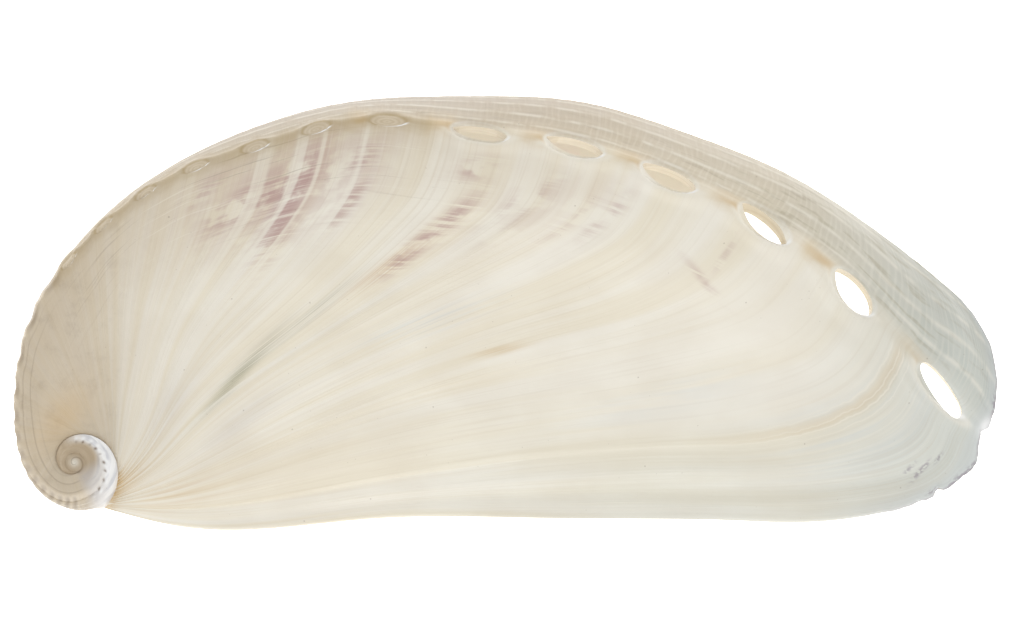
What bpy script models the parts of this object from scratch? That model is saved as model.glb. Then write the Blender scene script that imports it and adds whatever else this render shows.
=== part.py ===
"""Ass's-ear abalone shell, empty, lying on its rim with the outer side up.

The shell grew as one piece, so it is one solid. Its surface is lofted through the lines of growth, which are
earlier places of the shell's lip. They all start at the suture, the seam where the last whorl meets the spire,
and end at the margin beside the row of breathing holes. Age is counted back from the lip in holes: the newest
hole is number 0, the oldest open one is number 5, and every higher number is a hole that the animal has sealed.

Plan sizes are in millimetres: X runs from the spire to the growing end, Y from the lip to the holes.
"""
import math

import bmesh
import bpy
import numpy as np

MM = 0.001

# Walls
WALL = 1.4
LIP_WALL = 0.8
SPIRE_WALL = 2.3
SHELF_EDGE = 1.0
SHELF_ROOT = 1.7

# Spire: the suture is an equiangular spiral about the nucleus
NUCLEUS = (-43.0, -15.0)
SUTURE_START_RADIUS = 5.44
SUTURE_START_ANGLE = -57.8
WHORL_EXPANSION = 5.44
NUCLEUS_RADIUS = 1.0
NUCLEUS_HEIGHT = 6.25
SHOULDER_FRACTION = 0.58

# Age of the lip, of the last pause in growth, and of the last whorl's start
LIP_AGE = -0.8
PAUSE_AGE = 0.5
WHORL_AGE = 28.6
HOLE_TURN = 17.0

# Lines of growth in plan: age, then the points between the suture and the row of holes
LINE_STEPS = (0.0, 0.1, 0.3, 0.5, 0.7, 0.88, 0.95, 1.0)
GROWTH_LINES = (
    (-0.8, (-31.6, -21.6), (-13.6, -20.7), (4.4, -20.6), (22.4, -20.8), (37.9, -20.0), (45.1, -16.8), (47.3, -11.9)),
    (0.0, (-31.9, -20.7), (-14.8, -19.0), (2.2, -17.4), (19.4, -16.8), (35.2, -15.8), (41.9, -12.8), (43.5, -7.8)),
    (0.5, (-32.4, -19.7), (-16.6, -17.6), (-0.6, -15.1), (15.9, -13.6), (31.6, -11.6), (37.6, -8.0), (39.8, -3.5)),
    (1.0, (-33.4, -18.5), (-18.6, -14.4), (-3.6, -10.9), (11.9, -8.5), (26.4, -5.6), (31.6, -2.8), (34.6, 2.0)),
    (2.0, (-34.1, -17.4), (-21.9, -12.3), (-8.6, -7.0), (5.4, -2.8), (17.6, 1.0), (22.4, 4.4), (25.7, 8.8)),
    (3.0, (-34.9, -16.6), (-25.4, -10.6), (-13.6, -4.4), (-1.1, 0.7), (9.6, 5.2), (13.7, 8.6), (16.2, 13.4)),
    (4.0, (-35.6, -16.0), (-28.4, -9.6), (-18.6, -3.1), (-7.8, 3.0), (1.6, 8.2), (5.0, 11.6), (6.8, 16.5)),
    (5.0, (-36.1, -15.6), (-31.0, -10.0), (-23.8, -4.3), (-15.4, 1.9), (-7.4, 8.6), (-4.2, 12.6), (-2.6, 17.8)),
    (6.0, (-36.5, -14.8), (-32.8, -9.2), (-28.0, -3.3), (-21.6, 2.7), (-15.4, 9.7), (-13.0, 14.0), (-11.8, 19.0)),
    (7.6, (-36.9, -13.6), (-34.6, -8.2), (-32.6, -2.6), (-29.2, 3.2), (-25.3, 9.0), (-23.6, 12.6), (-22.5, 17.1)),
    (9.0, (-38.3, -13.5), (-37.3, -9.0), (-36.2, -4.3), (-34.8, 0.9), (-32.8, 6.9), (-31.8, 10.4), (-30.8, 14.4)),
    (11.0, (-39.2, -11.8), (-39.4, -7.3), (-39.6, -2.8), (-39.8, 1.8), (-40.0, 5.9), (-40.0, 7.5), (-40.0, 8.6)),
)

# Beyond the last of those lines, the lines of growth run straight to these holes of the row
STRAIGHT_LINES = (
    (13.0, (-46.1, 1.2)),
    (16.0, (-48.9, -9.0)),
    (19.0, (-48.1, -15.0)),
    (22.0, (-45.7, -18.1)),
    (25.0, (-43.3, -18.9)),
    (28.6, (-40.9, -17.9)),
)

# The outer band in plan, at each age above: two points down its slope, and the margin
BAND_STEPS = (0.0, 0.35, 0.7, 1.0)
BAND_LINES = (
    ((48.9, -9.3), (48.4, -3.3), (45.6, 1.2)),
    ((45.4, -4.6), (44.9, 0.0), (42.6, 3.8)),
    ((41.2, -1.3), (41.0, 3.0), (39.2, 6.5)),
    ((35.8, 4.0), (36.2, 7.2), (35.1, 9.5)),
    ((26.8, 10.5), (27.4, 12.9), (26.7, 14.5)),
    ((17.1, 14.8), (17.5, 16.9), (17.2, 18.2)),
    ((7.4, 18.0), (7.7, 20.0), (7.6, 21.0)),
    ((-2.3, 19.4), (-2.1, 21.0), (-2.1, 21.6)),
    ((-11.7, 20.2), (-11.6, 21.1), (-11.6, 21.4)),
    ((-22.7, 18.3), (-22.9, 19.1), (-22.9, 19.1)),
    ((-31.2, 15.2), (-31.4, 15.6), (-31.2, 15.2)),
    ((-40.35, 9.1), (-40.3, 9.0), (-39.6, 8.2)),
    ((-46.4, 1.3), (-46.1, 1.1), (-45.0, 0.6)),
    ((-48.95, -9.0), (-48.4, -9.0), (-47.0, -9.0)),
    ((-48.2, -15.1), (-47.7, -14.8), (-46.4, -14.1)),
    ((-46.05, -18.4), (-45.7, -18.0), (-44.8, -17.2)),
    ((-43.4, -19.5), (-43.3, -19.7), (-43.1, -19.2)),
    ((-40.6, -18.8), (-40.3, -19.4), (-40.1, -19.6)),
)

# At each age above: turn of the suture in degrees, and width of the shelf inside the margin
AGE_STEPS = (-0.8, 0.0, 0.5, 1.0, 2.0, 3.0, 4.0, 5.0, 6.0, 7.6, 9.0, 11.0, 13.0, 16.0, 19.0, 22.0, 25.0, 28.6)
SUTURE_TURN = (0, 2, 3.5, 5, 8.5, 12, 17, 22, 28, 38, 52, 72, 95, 135, 180, 230, 290, 360)
SHELF_WIDTH = (0.8, 1.0, 1.4, 2.2, 4.8, 6.4, 6.0, 5.2, 4.9, 4.6, 4.2, 4.0, 3.8, 3.2, 2.6, 2.2, 1.8, 2.0)

# Heights over the plan, which the dome passes through as smoothly as a bent plate: X, Y, height
DOME = (
    (-40.1, -19.6, 0.9), (-36.0, -20.9, 0.2), (-31.6, -21.6, 0.0), (-22.0, -21.2, 0.0), (-13.6, -20.7, 0.0),
    (-4.6, -20.5, 0.0), (4.4, -20.6, 0.0), (13.4, -20.7, 0.0), (22.4, -20.8, 0.0), (31.0, -20.8, 0.0),
    (37.9, -20.0, 0.0), (42.5, -18.6, 0.1), (45.1, -16.8, 0.5), (47.3, -11.9, 2.0),
    (42.0, -13.5, 3.6), (43.5, -7.8, 4.4), (33.0, -15.0, 4.2), (32.5, -7.5, 7.3), (34.6, 2.0, 8.0),
    (20.0, -15.5, 4.7), (20.0, -9.0, 8.6), (20.0, -2.0, 11.6), (21.0, 5.0, 12.7), (25.7, 8.8, 10.8),
    (16.2, 13.4, 12.8), (3.0, -15.5, 4.8), (3.0, -9.0, 9.2), (3.0, -1.0, 13.2), (4.0, 7.0, 15.6),
    (5.0, 12.0, 15.6), (6.8, 16.5, 14.1),
    (-14.0, -15.5, 4.9), (-14.0, -9.0, 9.4), (-14.0, -1.0, 13.6), (-12.0, 7.0, 16.2), (-11.5, 14.0, 16.2),
    (-11.8, 19.0, 14.5), (-28.0, -16.0, 4.9), (-28.0, -9.0, 8.9), (-27.0, -1.0, 12.2), (-25.0, 7.0, 14.2),
    (-22.5, 17.1, 13.4), (-36.5, -16.8, 3.6), (-38.8, -15.2, 4.3), (-36.0, -11.5, 6.6), (-36.0, -4.0, 9.3),
    (-34.5, 4.0, 11.4), (-30.8, 14.4, 11.9), (-40.0, 8.6, 9.6), (-41.5, -11.6, 5.6), (-42.5, -6.0, 7.3),
    (-42.5, 1.0, 8.9), (-46.1, 1.2, 7.8), (-48.9, -9.0, 5.6), (-45.3, -13.6, 5.8),
)

# Heights of the oldest lines of growth, which the dome gives way to, at the ages given
OLD_AGES = (11.0, 13.0, 16.0, 19.0, 22.0, 25.0, 28.6)
OLD_SUTURE = (5.2, 5.5, 5.7, 5.9, 6.0, 6.0, 5.9)
OLD_CREST = (9.6, 8.4, 6.9, 6.3, 6.1, 6.0, 5.9)
OLD_ROW = (9.4, 7.6, 5.7, 4.9, 4.5, 4.4, 4.5)

# Height of the lip along the final line of growth, which touches down twice
LIP_HEIGHT = (0.9, 0.0, 0.0, 0.7, 0.3, 0.0, 0.7, 2.0)

# Rows across a line of growth crowd together beside the holes and, less so, beside the suture
LINE_ROWS = 15
HOLE_ROW_GAP = 0.8
SUTURE_ROW_GAPS = (7.0, 3.0, 0.0)
LONG_LINE = 84.0
BAND_ROWS = (0.0, 0.12, 0.34, 0.62, 0.84, 1.0)

# Open holes: centre in plan, length, width and turn in degrees
OPEN_HOLES = (
    ((43.5, -7.8), 6.8, 1.9, -50.0),
    ((34.6, 2.0), 5.6, 2.7, -48.0),
    ((25.7, 8.8), 5.9, 2.4, -36.0),
    ((16.2, 13.4), 5.8, 2.1, -22.0),
    ((6.8, 16.5), 5.8, 1.8, -14.0),
    ((-2.6, 17.8), 5.4, 1.5, -9.0),
)
HOLE_DEPTH = 4.5
NOTCH_TIP = (48.2, -11.5)

# Raised work on the outer side
COLLAR_HEIGHT = 0.4
COLLAR_GROWTH = 1.1
COLLAR_WIDTH = 0.45
KNOB_HEIGHT = 0.55
FOLD_HEIGHT = 0.1
FOLD_SPACING = 7.0
FOLDS_END_AGE = 13.0
PAUSE_STEP = 0.3
SUTURE_GROOVE = 0.35

# The middle of the hollow, which the walls are drawn in towards
KEEL = ((-42.0, -14.0), (-24.0, 0.0), (8.0, 3.0), (38.0, -7.0))


def spline(knots, values, at):
    """Natural cubic spline through numbers or points, read at the places given."""
    knots = np.asarray(knots, float)
    values = np.asarray(values, float)
    at = np.asarray(at, float)
    gaps = np.diff(knots)
    slopes = np.diff(values, axis=0) / gaps.reshape((-1,) + (1,) * (values.ndim - 1))
    system = np.eye(len(knots))
    right = np.zeros_like(values)
    for i in range(1, len(knots) - 1):
        system[i, i - 1:i + 2] = gaps[i - 1], 2 * (gaps[i - 1] + gaps[i]), gaps[i]
        right[i] = 6 * (slopes[i] - slopes[i - 1])
    bends = np.linalg.solve(system, right.reshape(len(knots), -1)).reshape(values.shape)
    i = np.clip(np.searchsorted(knots, at, side="right") - 1, 0, len(knots) - 2)
    shape = (-1,) + (1,) * (values.ndim - 1)
    gap = gaps[i].reshape(shape)
    after = (at - knots[i]).reshape(shape)
    before = gap - after
    straight = values[i] * before / gap + values[i + 1] * after / gap
    return straight + (bends[i] * (before ** 3 / gap - gap * before)
                       + bends[i + 1] * (after ** 3 / gap - gap * after)) / 6


def bent_plate(points, at):
    """Height at plan points of the thin plate that bends least through (x, y, height) points."""
    points = np.asarray(points, float)

    def bending(a, b):
        square = np.sum((a[:, None, :] - b[None, :, :]) ** 2, axis=-1)
        return square * np.log(square + 1e-9)

    def flat(a):
        return np.column_stack([np.ones(len(a)), a])

    plan = points[:, :2]
    system = np.zeros((len(points) + 3, len(points) + 3))
    system[:-3, :-3] = bending(plan, plan)
    system[:-3, -3:] = flat(plan)
    system[-3:, :-3] = flat(plan).T
    weights = np.linalg.solve(system, np.append(points[:, 2], np.zeros(3)))
    at = np.asarray(at, float)
    flat_at = at.reshape(-1, 2)
    heights = bending(flat_at, plan) @ weights[:-3] + flat(flat_at) @ weights[-3:]
    return heights.reshape(at.shape[:-1])


def smooth_step(x):
    x = np.clip(x, 0.0, 1.0)
    return x * x * (3 - 2 * x)


def bell(x):
    return np.exp(-np.square(x))


def suture_radius(turn):
    return SUTURE_START_RADIUS * WHORL_EXPANSION ** (-np.asarray(turn, float) / 360)


def about_nucleus(radius, turn):
    """Plan point at a radius and a turn, in degrees, from the suture's start."""
    angle = np.radians(SUTURE_START_ANGLE + np.asarray(turn, float))
    radius = np.asarray(radius, float)
    return np.stack([NUCLEUS[0] + radius * np.cos(angle), NUCLEUS[1] + radius * np.sin(angle)], axis=-1)


def suture_point(turn):
    return about_nucleus(suture_radius(turn), turn)


def suture_turn(ages):
    return np.interp(ages, AGE_STEPS, SUTURE_TURN)


def growth_net():
    """Plan points of every listed line of growth, from the suture to the row of holes."""
    net = []
    for age, *points in GROWTH_LINES:
        start = suture_point(SUTURE_TURN[AGE_STEPS.index(age)])
        net.append([start, *np.array(points)])
    for age, end in STRAIGHT_LINES:
        start = suture_point(SUTURE_TURN[AGE_STEPS.index(age)])
        net.append([start + (np.array(end) - start) * step for step in LINE_STEPS])
    return np.array(net)


def band_net(rows_end):
    return np.concatenate([rows_end[:, None, :], np.array(BAND_LINES)], axis=1)


def away_from_keel(points):
    """Unit directions from the nearest point of the keel line out to each point."""
    best = np.full(points.shape[:-1], np.inf)
    away = np.zeros_like(points)
    for start, end in zip(KEEL[:-1], KEEL[1:]):
        start = np.array([*start, 0.0])
        run = np.array([*end, 0.0]) - start
        along = np.clip((points - start) @ run / (run @ run), 0.0, 1.0)
        gap = points - (start + along[..., None] * run)
        size = np.linalg.norm(gap, axis=-1)
        nearer = size < best
        best = np.where(nearer, size, best)
        away = np.where(nearer[..., None], gap / size[..., None], away)
    return away


def row_places(total):
    """Distances from the suture at which a line of growth of this length is read."""
    ends = np.array(SUTURE_ROW_GAPS) * min(1.0, total / LONG_LINE)
    count = LINE_ROWS - len(ends)
    reach = total - ends[0]
    step = min(HOLE_ROW_GAP, reach / count)
    share = np.arange(count) / count
    from_row = step * count * share + (reach - step * count) * share ** 2.5
    return total - np.append(from_row, total - ends)[::-1]


def spaced_rows(plan):
    """Lines of growth re-read at the places of the rows."""
    steps = np.linalg.norm(np.diff(plan, axis=1), axis=-1)
    lengths = np.concatenate([np.zeros((len(plan), 1)), np.cumsum(steps, axis=1)], axis=1)
    lines = []
    for line, length in zip(plan, lengths):
        at = row_places(length[-1])
        lines.append(np.column_stack([np.interp(at, length, line[:, 0]), np.interp(at, length, line[:, 1])]))
    return np.array(lines)


def line_plan(ages):
    """Plan points, finely spaced, of the line of growth at each age."""
    fine = np.linspace(0, 1, 161)
    net = growth_net()
    plan = spline(AGE_STEPS, spline(LINE_STEPS, net.swapaxes(0, 1), fine).swapaxes(0, 1), ages)
    miss = suture_point(suture_turn(ages)) - plan[:, 0]
    return plan + miss[:, None, :] * ((1 - fine) ** 4)[None, :, None]


def old_heights(ages, steps):
    """Heights of the oldest lines of growth, at each step from the suture to the row of holes."""
    suture = np.interp(ages, OLD_AGES, OLD_SUTURE)[:, None]
    crest = np.interp(ages, OLD_AGES, OLD_CREST)[:, None]
    row = np.interp(ages, OLD_AGES, OLD_ROW)[:, None]
    height = suture + (crest - suture) * np.sin(np.pi / 2 * steps / 0.9)
    return height - (height[:, -1:] - row) * np.clip((steps - 0.6) / 0.4, 0, 1) ** 2.4


def body_whorl(ages, band_rows):
    """Smooth surface of the last whorl: a grid of points, lines of growth by rows."""
    plan = spaced_rows(line_plan(ages))
    steps = np.concatenate([np.zeros((len(plan), 1)),
                            np.cumsum(np.linalg.norm(np.diff(plan, axis=1), axis=-1), axis=1)], axis=1)
    steps = steps / steps[:, -1:]
    dome = bent_plate(DOME, plan)
    height = dome + (old_heights(ages, steps) - dome) * smooth_step((ages - 11.0) / 6.0)[:, None]
    newness = 1 - smooth_step((ages - LIP_AGE) / 1.0)[:, None]
    lip = np.maximum(np.interp(steps, LINE_STEPS, LIP_HEIGHT), 0.0)
    height = np.maximum(height + (lip - height) * newness, 0.0)
    line_part = np.concatenate([plan, height[..., None]], axis=-1)

    net = band_net(growth_net()[:, -1])
    plan = spline(AGE_STEPS, spline(BAND_STEPS, net.swapaxes(0, 1), band_rows).swapaxes(0, 1), ages)
    plan[0, 1] = NOTCH_TIP
    foot = DOME[0][2] * smooth_step((ages - 26.5) / (WHORL_AGE - 26.5))[:, None]
    height = foot + (height[:, -1:] - foot) * (1 - band_rows ** 1.6)[None, :]
    band_part = np.concatenate([plan, height[..., None]], axis=-1)
    return np.concatenate([line_part, band_part[:, 1:]], axis=1)


def inner_whorl(turns, suture_heights, first_line):
    """Smooth surface of the whorl before, from the nucleus out to the suture, in the same rows."""
    split = LINE_ROWS - 1
    outer = suture_radius(turns)[:, None]
    reach = np.linalg.norm(first_line[:, :2] - np.array(NUCLEUS), axis=-1)
    share = (reach - NUCLEUS_RADIUS) / (reach[-1] - NUCLEUS_RADIUS)
    plan = about_nucleus(NUCLEUS_RADIUS + (outer - NUCLEUS_RADIUS) * share[None, :], turns[:, None])
    top = OLD_SUTURE[-1]
    row = np.interp(turns, (0, 25, 60, 100, 150, 360), (OLD_ROW[-1], 4.8, 5.2, 5.6, 5.85, top))[:, None]
    along = share[:split + 1] / share[split]
    down = (share[split + 1:] - share[split]) / (1 - share[split])
    suture = np.asarray(suture_heights)[:, None]
    height = np.concatenate([top + (row - top) * along[None, :] ** 1.6,
                             suture + (row - suture) * (1 - down[None, :] ** 1.6)], axis=1)
    return np.concatenate([plan, height[..., None]], axis=-1)


def hole_ring(plan):
    """Distance from the nearest open hole, where 0 is its centre and 1 is just outside its edge."""
    nearest = np.full(plan.shape[:-1], np.inf)
    for centre, length, width, turn in OPEN_HOLES:
        angle = math.radians(turn)
        gap = plan - np.array(centre)
        along = gap[..., 0] * math.cos(angle) + gap[..., 1] * math.sin(angle)
        across = gap[..., 1] * math.cos(angle) - gap[..., 0] * math.sin(angle)
        ring = np.hypot(along / (length / 2 + COLLAR_GROWTH), across / (width / 2 + COLLAR_GROWTH / 2))
        nearest = np.minimum(nearest, ring)
    return nearest


def relief(grid, ages, turns):
    """Height of the raised work on the outer side, at every point of a whorl's grid."""
    split = LINE_ROWS - 1
    row = grid[:, split:split + 1, :2]
    across = np.linalg.norm(grid[..., :2] - row, axis=-1)
    across[:, split + 1:] *= -1
    spacing = np.linalg.norm(np.gradient(row[:, 0], ages, axis=0), axis=-1)[:, None]
    number = np.round(ages)[:, None]
    along = (ages[:, None] - number) * spacing
    collar = COLLAR_HEIGHT * bell((hole_ring(grid[..., :2]) - 1.0) / COLLAR_WIDTH)
    knob_round = np.hypot(along, across) / (0.3 * spacing)
    knob = np.minimum(KNOB_HEIGHT, 0.13 * spacing) * (bell(knob_round) - 0.55 * bell(knob_round / 0.45))
    heights = collar + np.where(number > 5, knob, 0.0)
    length = across[:, :1]
    middle = np.clip(across / 4, 0, 1) * np.clip((length - across) / 6, 0, 1)
    crowding = np.linalg.norm(np.gradient(grid[..., :2], ages, axis=0), axis=-1)
    fold = FOLD_HEIGHT * np.clip(crowding / FOLD_SPACING, 0, 1) * middle
    heights = heights + fold * (np.cos(2 * np.pi * ages) * (ages < FOLDS_END_AGE))[:, None]
    since = (PAUSE_AGE - ages)[:, None]
    step = smooth_step((since + 0.1) / 0.2) * (1 - smooth_step((since - 0.15) / 1.0))
    inside = np.where(across > 0, smooth_step((length - across) / 12), 1 - smooth_step(-across / 4))
    heights = heights - PAUSE_STEP * step * inside
    fade = smooth_step(turns / 40) * (1 - smooth_step((turns - 200) / 140))
    from_suture = np.linalg.norm(grid[..., :2] - grid[:, :1, :2], axis=-1)
    return heights - SUTURE_GROOVE * fade[:, None] * bell(from_suture / 0.7)


class Skin:
    """Grid faces of one side of the shell, collected as points and polygons."""

    def __init__(self):
        self.points = []
        self.faces = []

    def add(self, points):
        first = len(self.points)
        self.points.extend(points.reshape(-1, 3))
        return np.arange(first, first + points[..., 0].size).reshape(points.shape[:-1])

    def grid(self, places):
        """Faces between neighbouring columns and rows of a grid of point numbers."""
        for a, b in zip(places[:-1], places[1:]):
            for j in range(len(a) - 1):
                self.faces.append((a[j], a[j + 1], b[j + 1], b[j]))

    def fan(self, ring, tip):
        for a, b in zip(ring, np.roll(ring, -1)):
            self.faces.append((a, b, tip))

    def turn_over(self, first_face):
        self.faces[first_face:] = [face[::-1] for face in self.faces[first_face:]]


def wall_at(grid, ages):
    """Wall thickness: thick under the spire, thin at the lip and where the lip meets the suture."""
    from_nucleus = np.linalg.norm(grid[..., :2] - np.array(NUCLEUS), axis=-1)
    from_corner = np.linalg.norm(grid[..., :2] - suture_point(0), axis=-1)
    wall = WALL + (SPIRE_WALL - WALL) * bell(from_nucleus / 6.0)
    at_lip = 1 - smooth_step((ages - LIP_AGE) / 1.2)[:, None]
    thin = np.maximum(at_lip, bell(from_corner / 2.5))
    return wall + (LIP_WALL - wall) * thin


def meet(body, ages, ring, inner):
    """Joins the two whorls: shared points of the suture, the last column and the pinched end."""
    heights = np.interp(ring, suture_turn(ages), body[:, 0, 2])
    seam = np.column_stack([suture_point(ring), heights])
    nearest = np.round(suture_turn(ages) / ring[1]).astype(int)
    body[:, 0] = seam[nearest]
    body[-1, -1] = body[0, 0]
    inner[:, -1] = seam
    inner[0] = body[-1]
    inner[-1] = body[-1, 0]


def smooth_whorls(ages, ring, band_rows):
    """Both whorls with no raised work: the last whorl and the one before."""
    body = body_whorl(ages, band_rows)
    suture_heights = np.interp(ring, suture_turn(ages), body[:, 0, 2])
    return body, inner_whorl(ring, suture_heights, body[-1])


def outer_skin(skin, ages, ring, band_rows):
    """Outer side of both whorls and the nucleus. Returns the point numbers of the last whorl."""
    body, inner = smooth_whorls(ages, ring, band_rows)
    heights = relief(body, ages, suture_turn(ages))
    body = body + away_from_keel(body) * heights[..., None]
    body[..., 2] = np.maximum(body[..., 2], 0.0)
    heights = relief(inner, WHORL_AGE + ring / HOLE_TURN, ring + 360)
    inner = inner + away_from_keel(inner) * heights[..., None]
    meet(body, ages, ring, inner)
    places = skin.add(body)
    skin.grid(places)
    inner_places = skin.add(inner)
    skin.grid(inner_places)
    nucleus_cap(skin, inner[:-1, 0], inner_places[:-1, 0], NUCLEUS_HEIGHT)
    return places


def nucleus_cap(skin, rim, rim_places, top):
    middle = np.array([*NUCLEUS, top])
    half = rim * 0.5 + middle * 0.5
    half[:, 2] = rim[:, 2].mean() * 0.3 + top * 0.7
    half_places = skin.add(half)
    skin.grid(np.stack([np.append(rim_places, rim_places[0]), np.append(half_places, half_places[0])]).T[:, ::-1])
    skin.fan(half_places, skin.add(middle[None, :])[0])


def lining(skin, ages, ring, band_rows):
    """Inner side: the smooth surface drawn in by the wall, with the shelf along the margin."""
    first_face = len(skin.faces)
    body, inner = smooth_whorls(ages, ring, band_rows)
    away = away_from_keel(body)
    margin = body[:, -1].copy()
    outward = away[:, -1] * np.array([1.0, 1.0, 0.0])
    wall = wall_at(body, ages)
    body = body - away * wall[..., None]
    ramp = (smooth_step((ages - LIP_AGE) / 1.5) * smooth_step((WHORL_AGE - ages) / 2.0))[:, None]
    foot = margin - outward * wall[:, -1:]
    width = spline(AGE_STEPS, SHELF_WIDTH, ages)[:, None]
    edge = foot - outward * (width - wall[:, -1:]) * smooth_step(ramp * 2)
    root = foot + np.array([0.0, 0.0, SHELF_ROOT]) * ramp
    lift = edge + np.array([0.0, 0.0, SHELF_EDGE]) * ramp
    body[:, -1] = root
    body[..., 2] = np.maximum(body[..., 2], 0.0)
    inner = inner - away_from_keel(inner) * wall_at(inner, ring + WHORL_AGE)[..., None]
    meet(body, ages, ring, inner)
    places = skin.add(body)
    skin.grid(places)
    inner_places = skin.add(inner)
    skin.grid(inner_places)
    nucleus_cap(skin, inner[:-1, 0], inner_places[:-1, 0], inner[:, 0, 2].mean() + 0.2)

    shelf = np.stack([body[:, -1], lift, edge], axis=1)
    shelf[-1] = body[-1, -1]
    shelf_places = skin.add(shelf)
    skin.grid(shelf_places)
    skin.turn_over(first_face)
    return places, shelf_places


def close_rim(skin, outer, inner):
    """Triangles between two edges, each a list of (address, point number) from start to end."""
    i = 0
    j = 0
    while i < len(outer) - 1 or j < len(inner) - 1:
        forward = j == len(inner) - 1 or (i < len(outer) - 1 and outer[i + 1][0] <= inner[j + 1][0])
        if forward:
            skin.faces.append((outer[i][1], inner[j][1], outer[i + 1][1]))
            i += 1
        else:
            skin.faces.append((outer[i][1], inner[j][1], inner[j + 1][1]))
            j += 1


def edge_addresses(skin, places, ages, margin):
    """The free edge as (address, point number): along the lip by distance, then along the margin by age."""
    split = LINE_ROWS - 1
    lip = np.array([skin.points[i] for i in places[0]])
    length = np.append(0.0, np.cumsum(np.linalg.norm(np.diff(lip, axis=0), axis=-1)))
    line = length[:split + 1] / length[split]
    band = 1 + (length[split + 1:] - length[split]) / (length[-1] - length[split])
    along_lip = list(zip(np.append(line, band), places[0]))
    along_margin = [(2 + age - LIP_AGE, place) for age, place in zip(ages, margin)]
    return along_lip + along_margin[1:]


def ages_of(*stretches):
    """Ages along the shell, from stretches of (start, end, columns to each hole)."""
    parts = [np.arange(round((end - start) * density)) / density + start for start, end, density in stretches]
    return np.append(np.concatenate(parts), stretches[-1][1])


def shell_mesh():
    skin = Skin()
    ages = ages_of((LIP_AGE, 6.0, 7.5), (6.0, 14.0, 4), (14.0, 20.0, 3), (20.0, WHORL_AGE, 2))
    outer = outer_skin(skin, ages, np.arange(0.0, 361.0, 12.0), np.array(BAND_ROWS))
    outer_edge = edge_addresses(skin, outer, ages, outer[:, -1])

    lining_ages = ages_of((LIP_AGE, 6.0, 2.5), (6.0, 16.0, 2), (16.0, WHORL_AGE, 1.5))
    inner, shelf = lining(skin, lining_ages, np.arange(0.0, 361.0, 24.0), np.array(BAND_ROWS))
    inner_edge = edge_addresses(skin, inner, lining_ages, shelf[:, -1])
    close_rim(skin, outer_edge, inner_edge)

    mesh = bpy.data.meshes.new("shell")
    points = [tuple(point * MM) for point in skin.points]
    faces = [tuple(int(i) for i in face) for face in skin.faces]
    mesh.from_pydata(points, [], faces)
    work = bmesh.new()
    work.from_mesh(mesh)
    bmesh.ops.remove_doubles(work, verts=work.verts[:], dist=0.002 * MM)
    bmesh.ops.dissolve_degenerate(work, dist=0.001 * MM, edges=work.edges[:])
    bmesh.ops.triangulate(work, faces=work.faces[:])
    bmesh.ops.recalc_face_normals(work, faces=work.faces[:])
    work.to_mesh(mesh)
    work.free()
    return mesh


def pearl_material():
    material = bpy.data.materials.new("bleached shell")
    material.use_nodes = True
    shader = material.node_tree.nodes["Principled BSDF"]
    shader.inputs["Base Color"].default_value = (0.82, 0.75, 0.62, 1.0)
    shader.inputs["Roughness"].default_value = 0.35
    shader.inputs["Metallic"].default_value = 0.0
    return material


def collection(name):
    group = bpy.data.collections.new(name)
    bpy.context.scene.collection.children.link(group)
    return group


def surface_height(target, x, y):
    """Height of the target's top surface at a plan point, in millimetres."""
    hit, place, *_ = target.ray_cast((x * MM, y * MM, 1.0), (0.0, 0.0, -1.0))
    return place.z / MM if hit else 0.0


def lens_cutter(group, name, centre, top, depth, length, width, turn):
    """Upright cutter with a lens-shaped section, pointed at both ends."""
    mesh = bpy.data.meshes.new(name)
    work = bmesh.new()
    bmesh.ops.create_cone(work, cap_ends=True, segments=20, radius1=1.0, radius2=1.0, depth=1.0)
    for vert in work.verts:
        pinch = 1 - 0.25 * abs(vert.co.x) ** 3
        vert.co.x *= length / 2 * MM
        vert.co.y *= pinch * width / 2 * MM
        vert.co.z *= depth * MM
    work.to_mesh(mesh)
    work.free()
    cutter = bpy.data.objects.new(name, mesh)
    cutter.location = (centre[0] * MM, centre[1] * MM, (top + 1.5 - depth / 2) * MM)
    cutter.rotation_euler.z = math.radians(turn)
    cutter.hide_render = True
    cutter.display_type = "WIRE"
    group.objects.link(cutter)
    return cutter


def cut(target, cutter):
    modifier = target.modifiers.new(cutter.name, "BOOLEAN")
    modifier.operation = "DIFFERENCE"
    modifier.solver = "EXACT"
    modifier.object = cutter


def main():
    for item in list(bpy.data.objects):
        bpy.data.objects.remove(item, do_unlink=True)
    shell = bpy.data.objects.new("shell", shell_mesh())
    shell.data.materials.append(pearl_material())
    collection("abalone_shell").objects.link(shell)
    bpy.context.view_layer.update()

    cutters = collection("hole_cutters")
    for i, (centre, length, width, turn) in enumerate(OPEN_HOLES):
        top = surface_height(shell, *centre)
        cut(shell, lens_cutter(cutters, f"hole_cutter_{i + 1}", centre, top, HOLE_DEPTH, length, width, turn))
    shell.data.shade_smooth()


main()
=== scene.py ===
"""Looks of an empty ass's-ear abalone shell, bleached and polished, lying on its rim with the outer side up.

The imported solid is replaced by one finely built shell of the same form. Its surface is lofted through the
lines of growth, which are earlier places of the shell's lip. They start at the suture, the seam where the last
whorl meets the spire, and end at the margin beside the row of breathing holes. Age is counted back from the
lip in holes: the newest hole is number 0, the oldest open one is number 5, and the rest are sealed.

Plan sizes are in millimetres: X runs from the spire to the growing end, Y from the lip to the holes.
"""
import logging
import math
from dataclasses import dataclass
from enum import Enum

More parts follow.
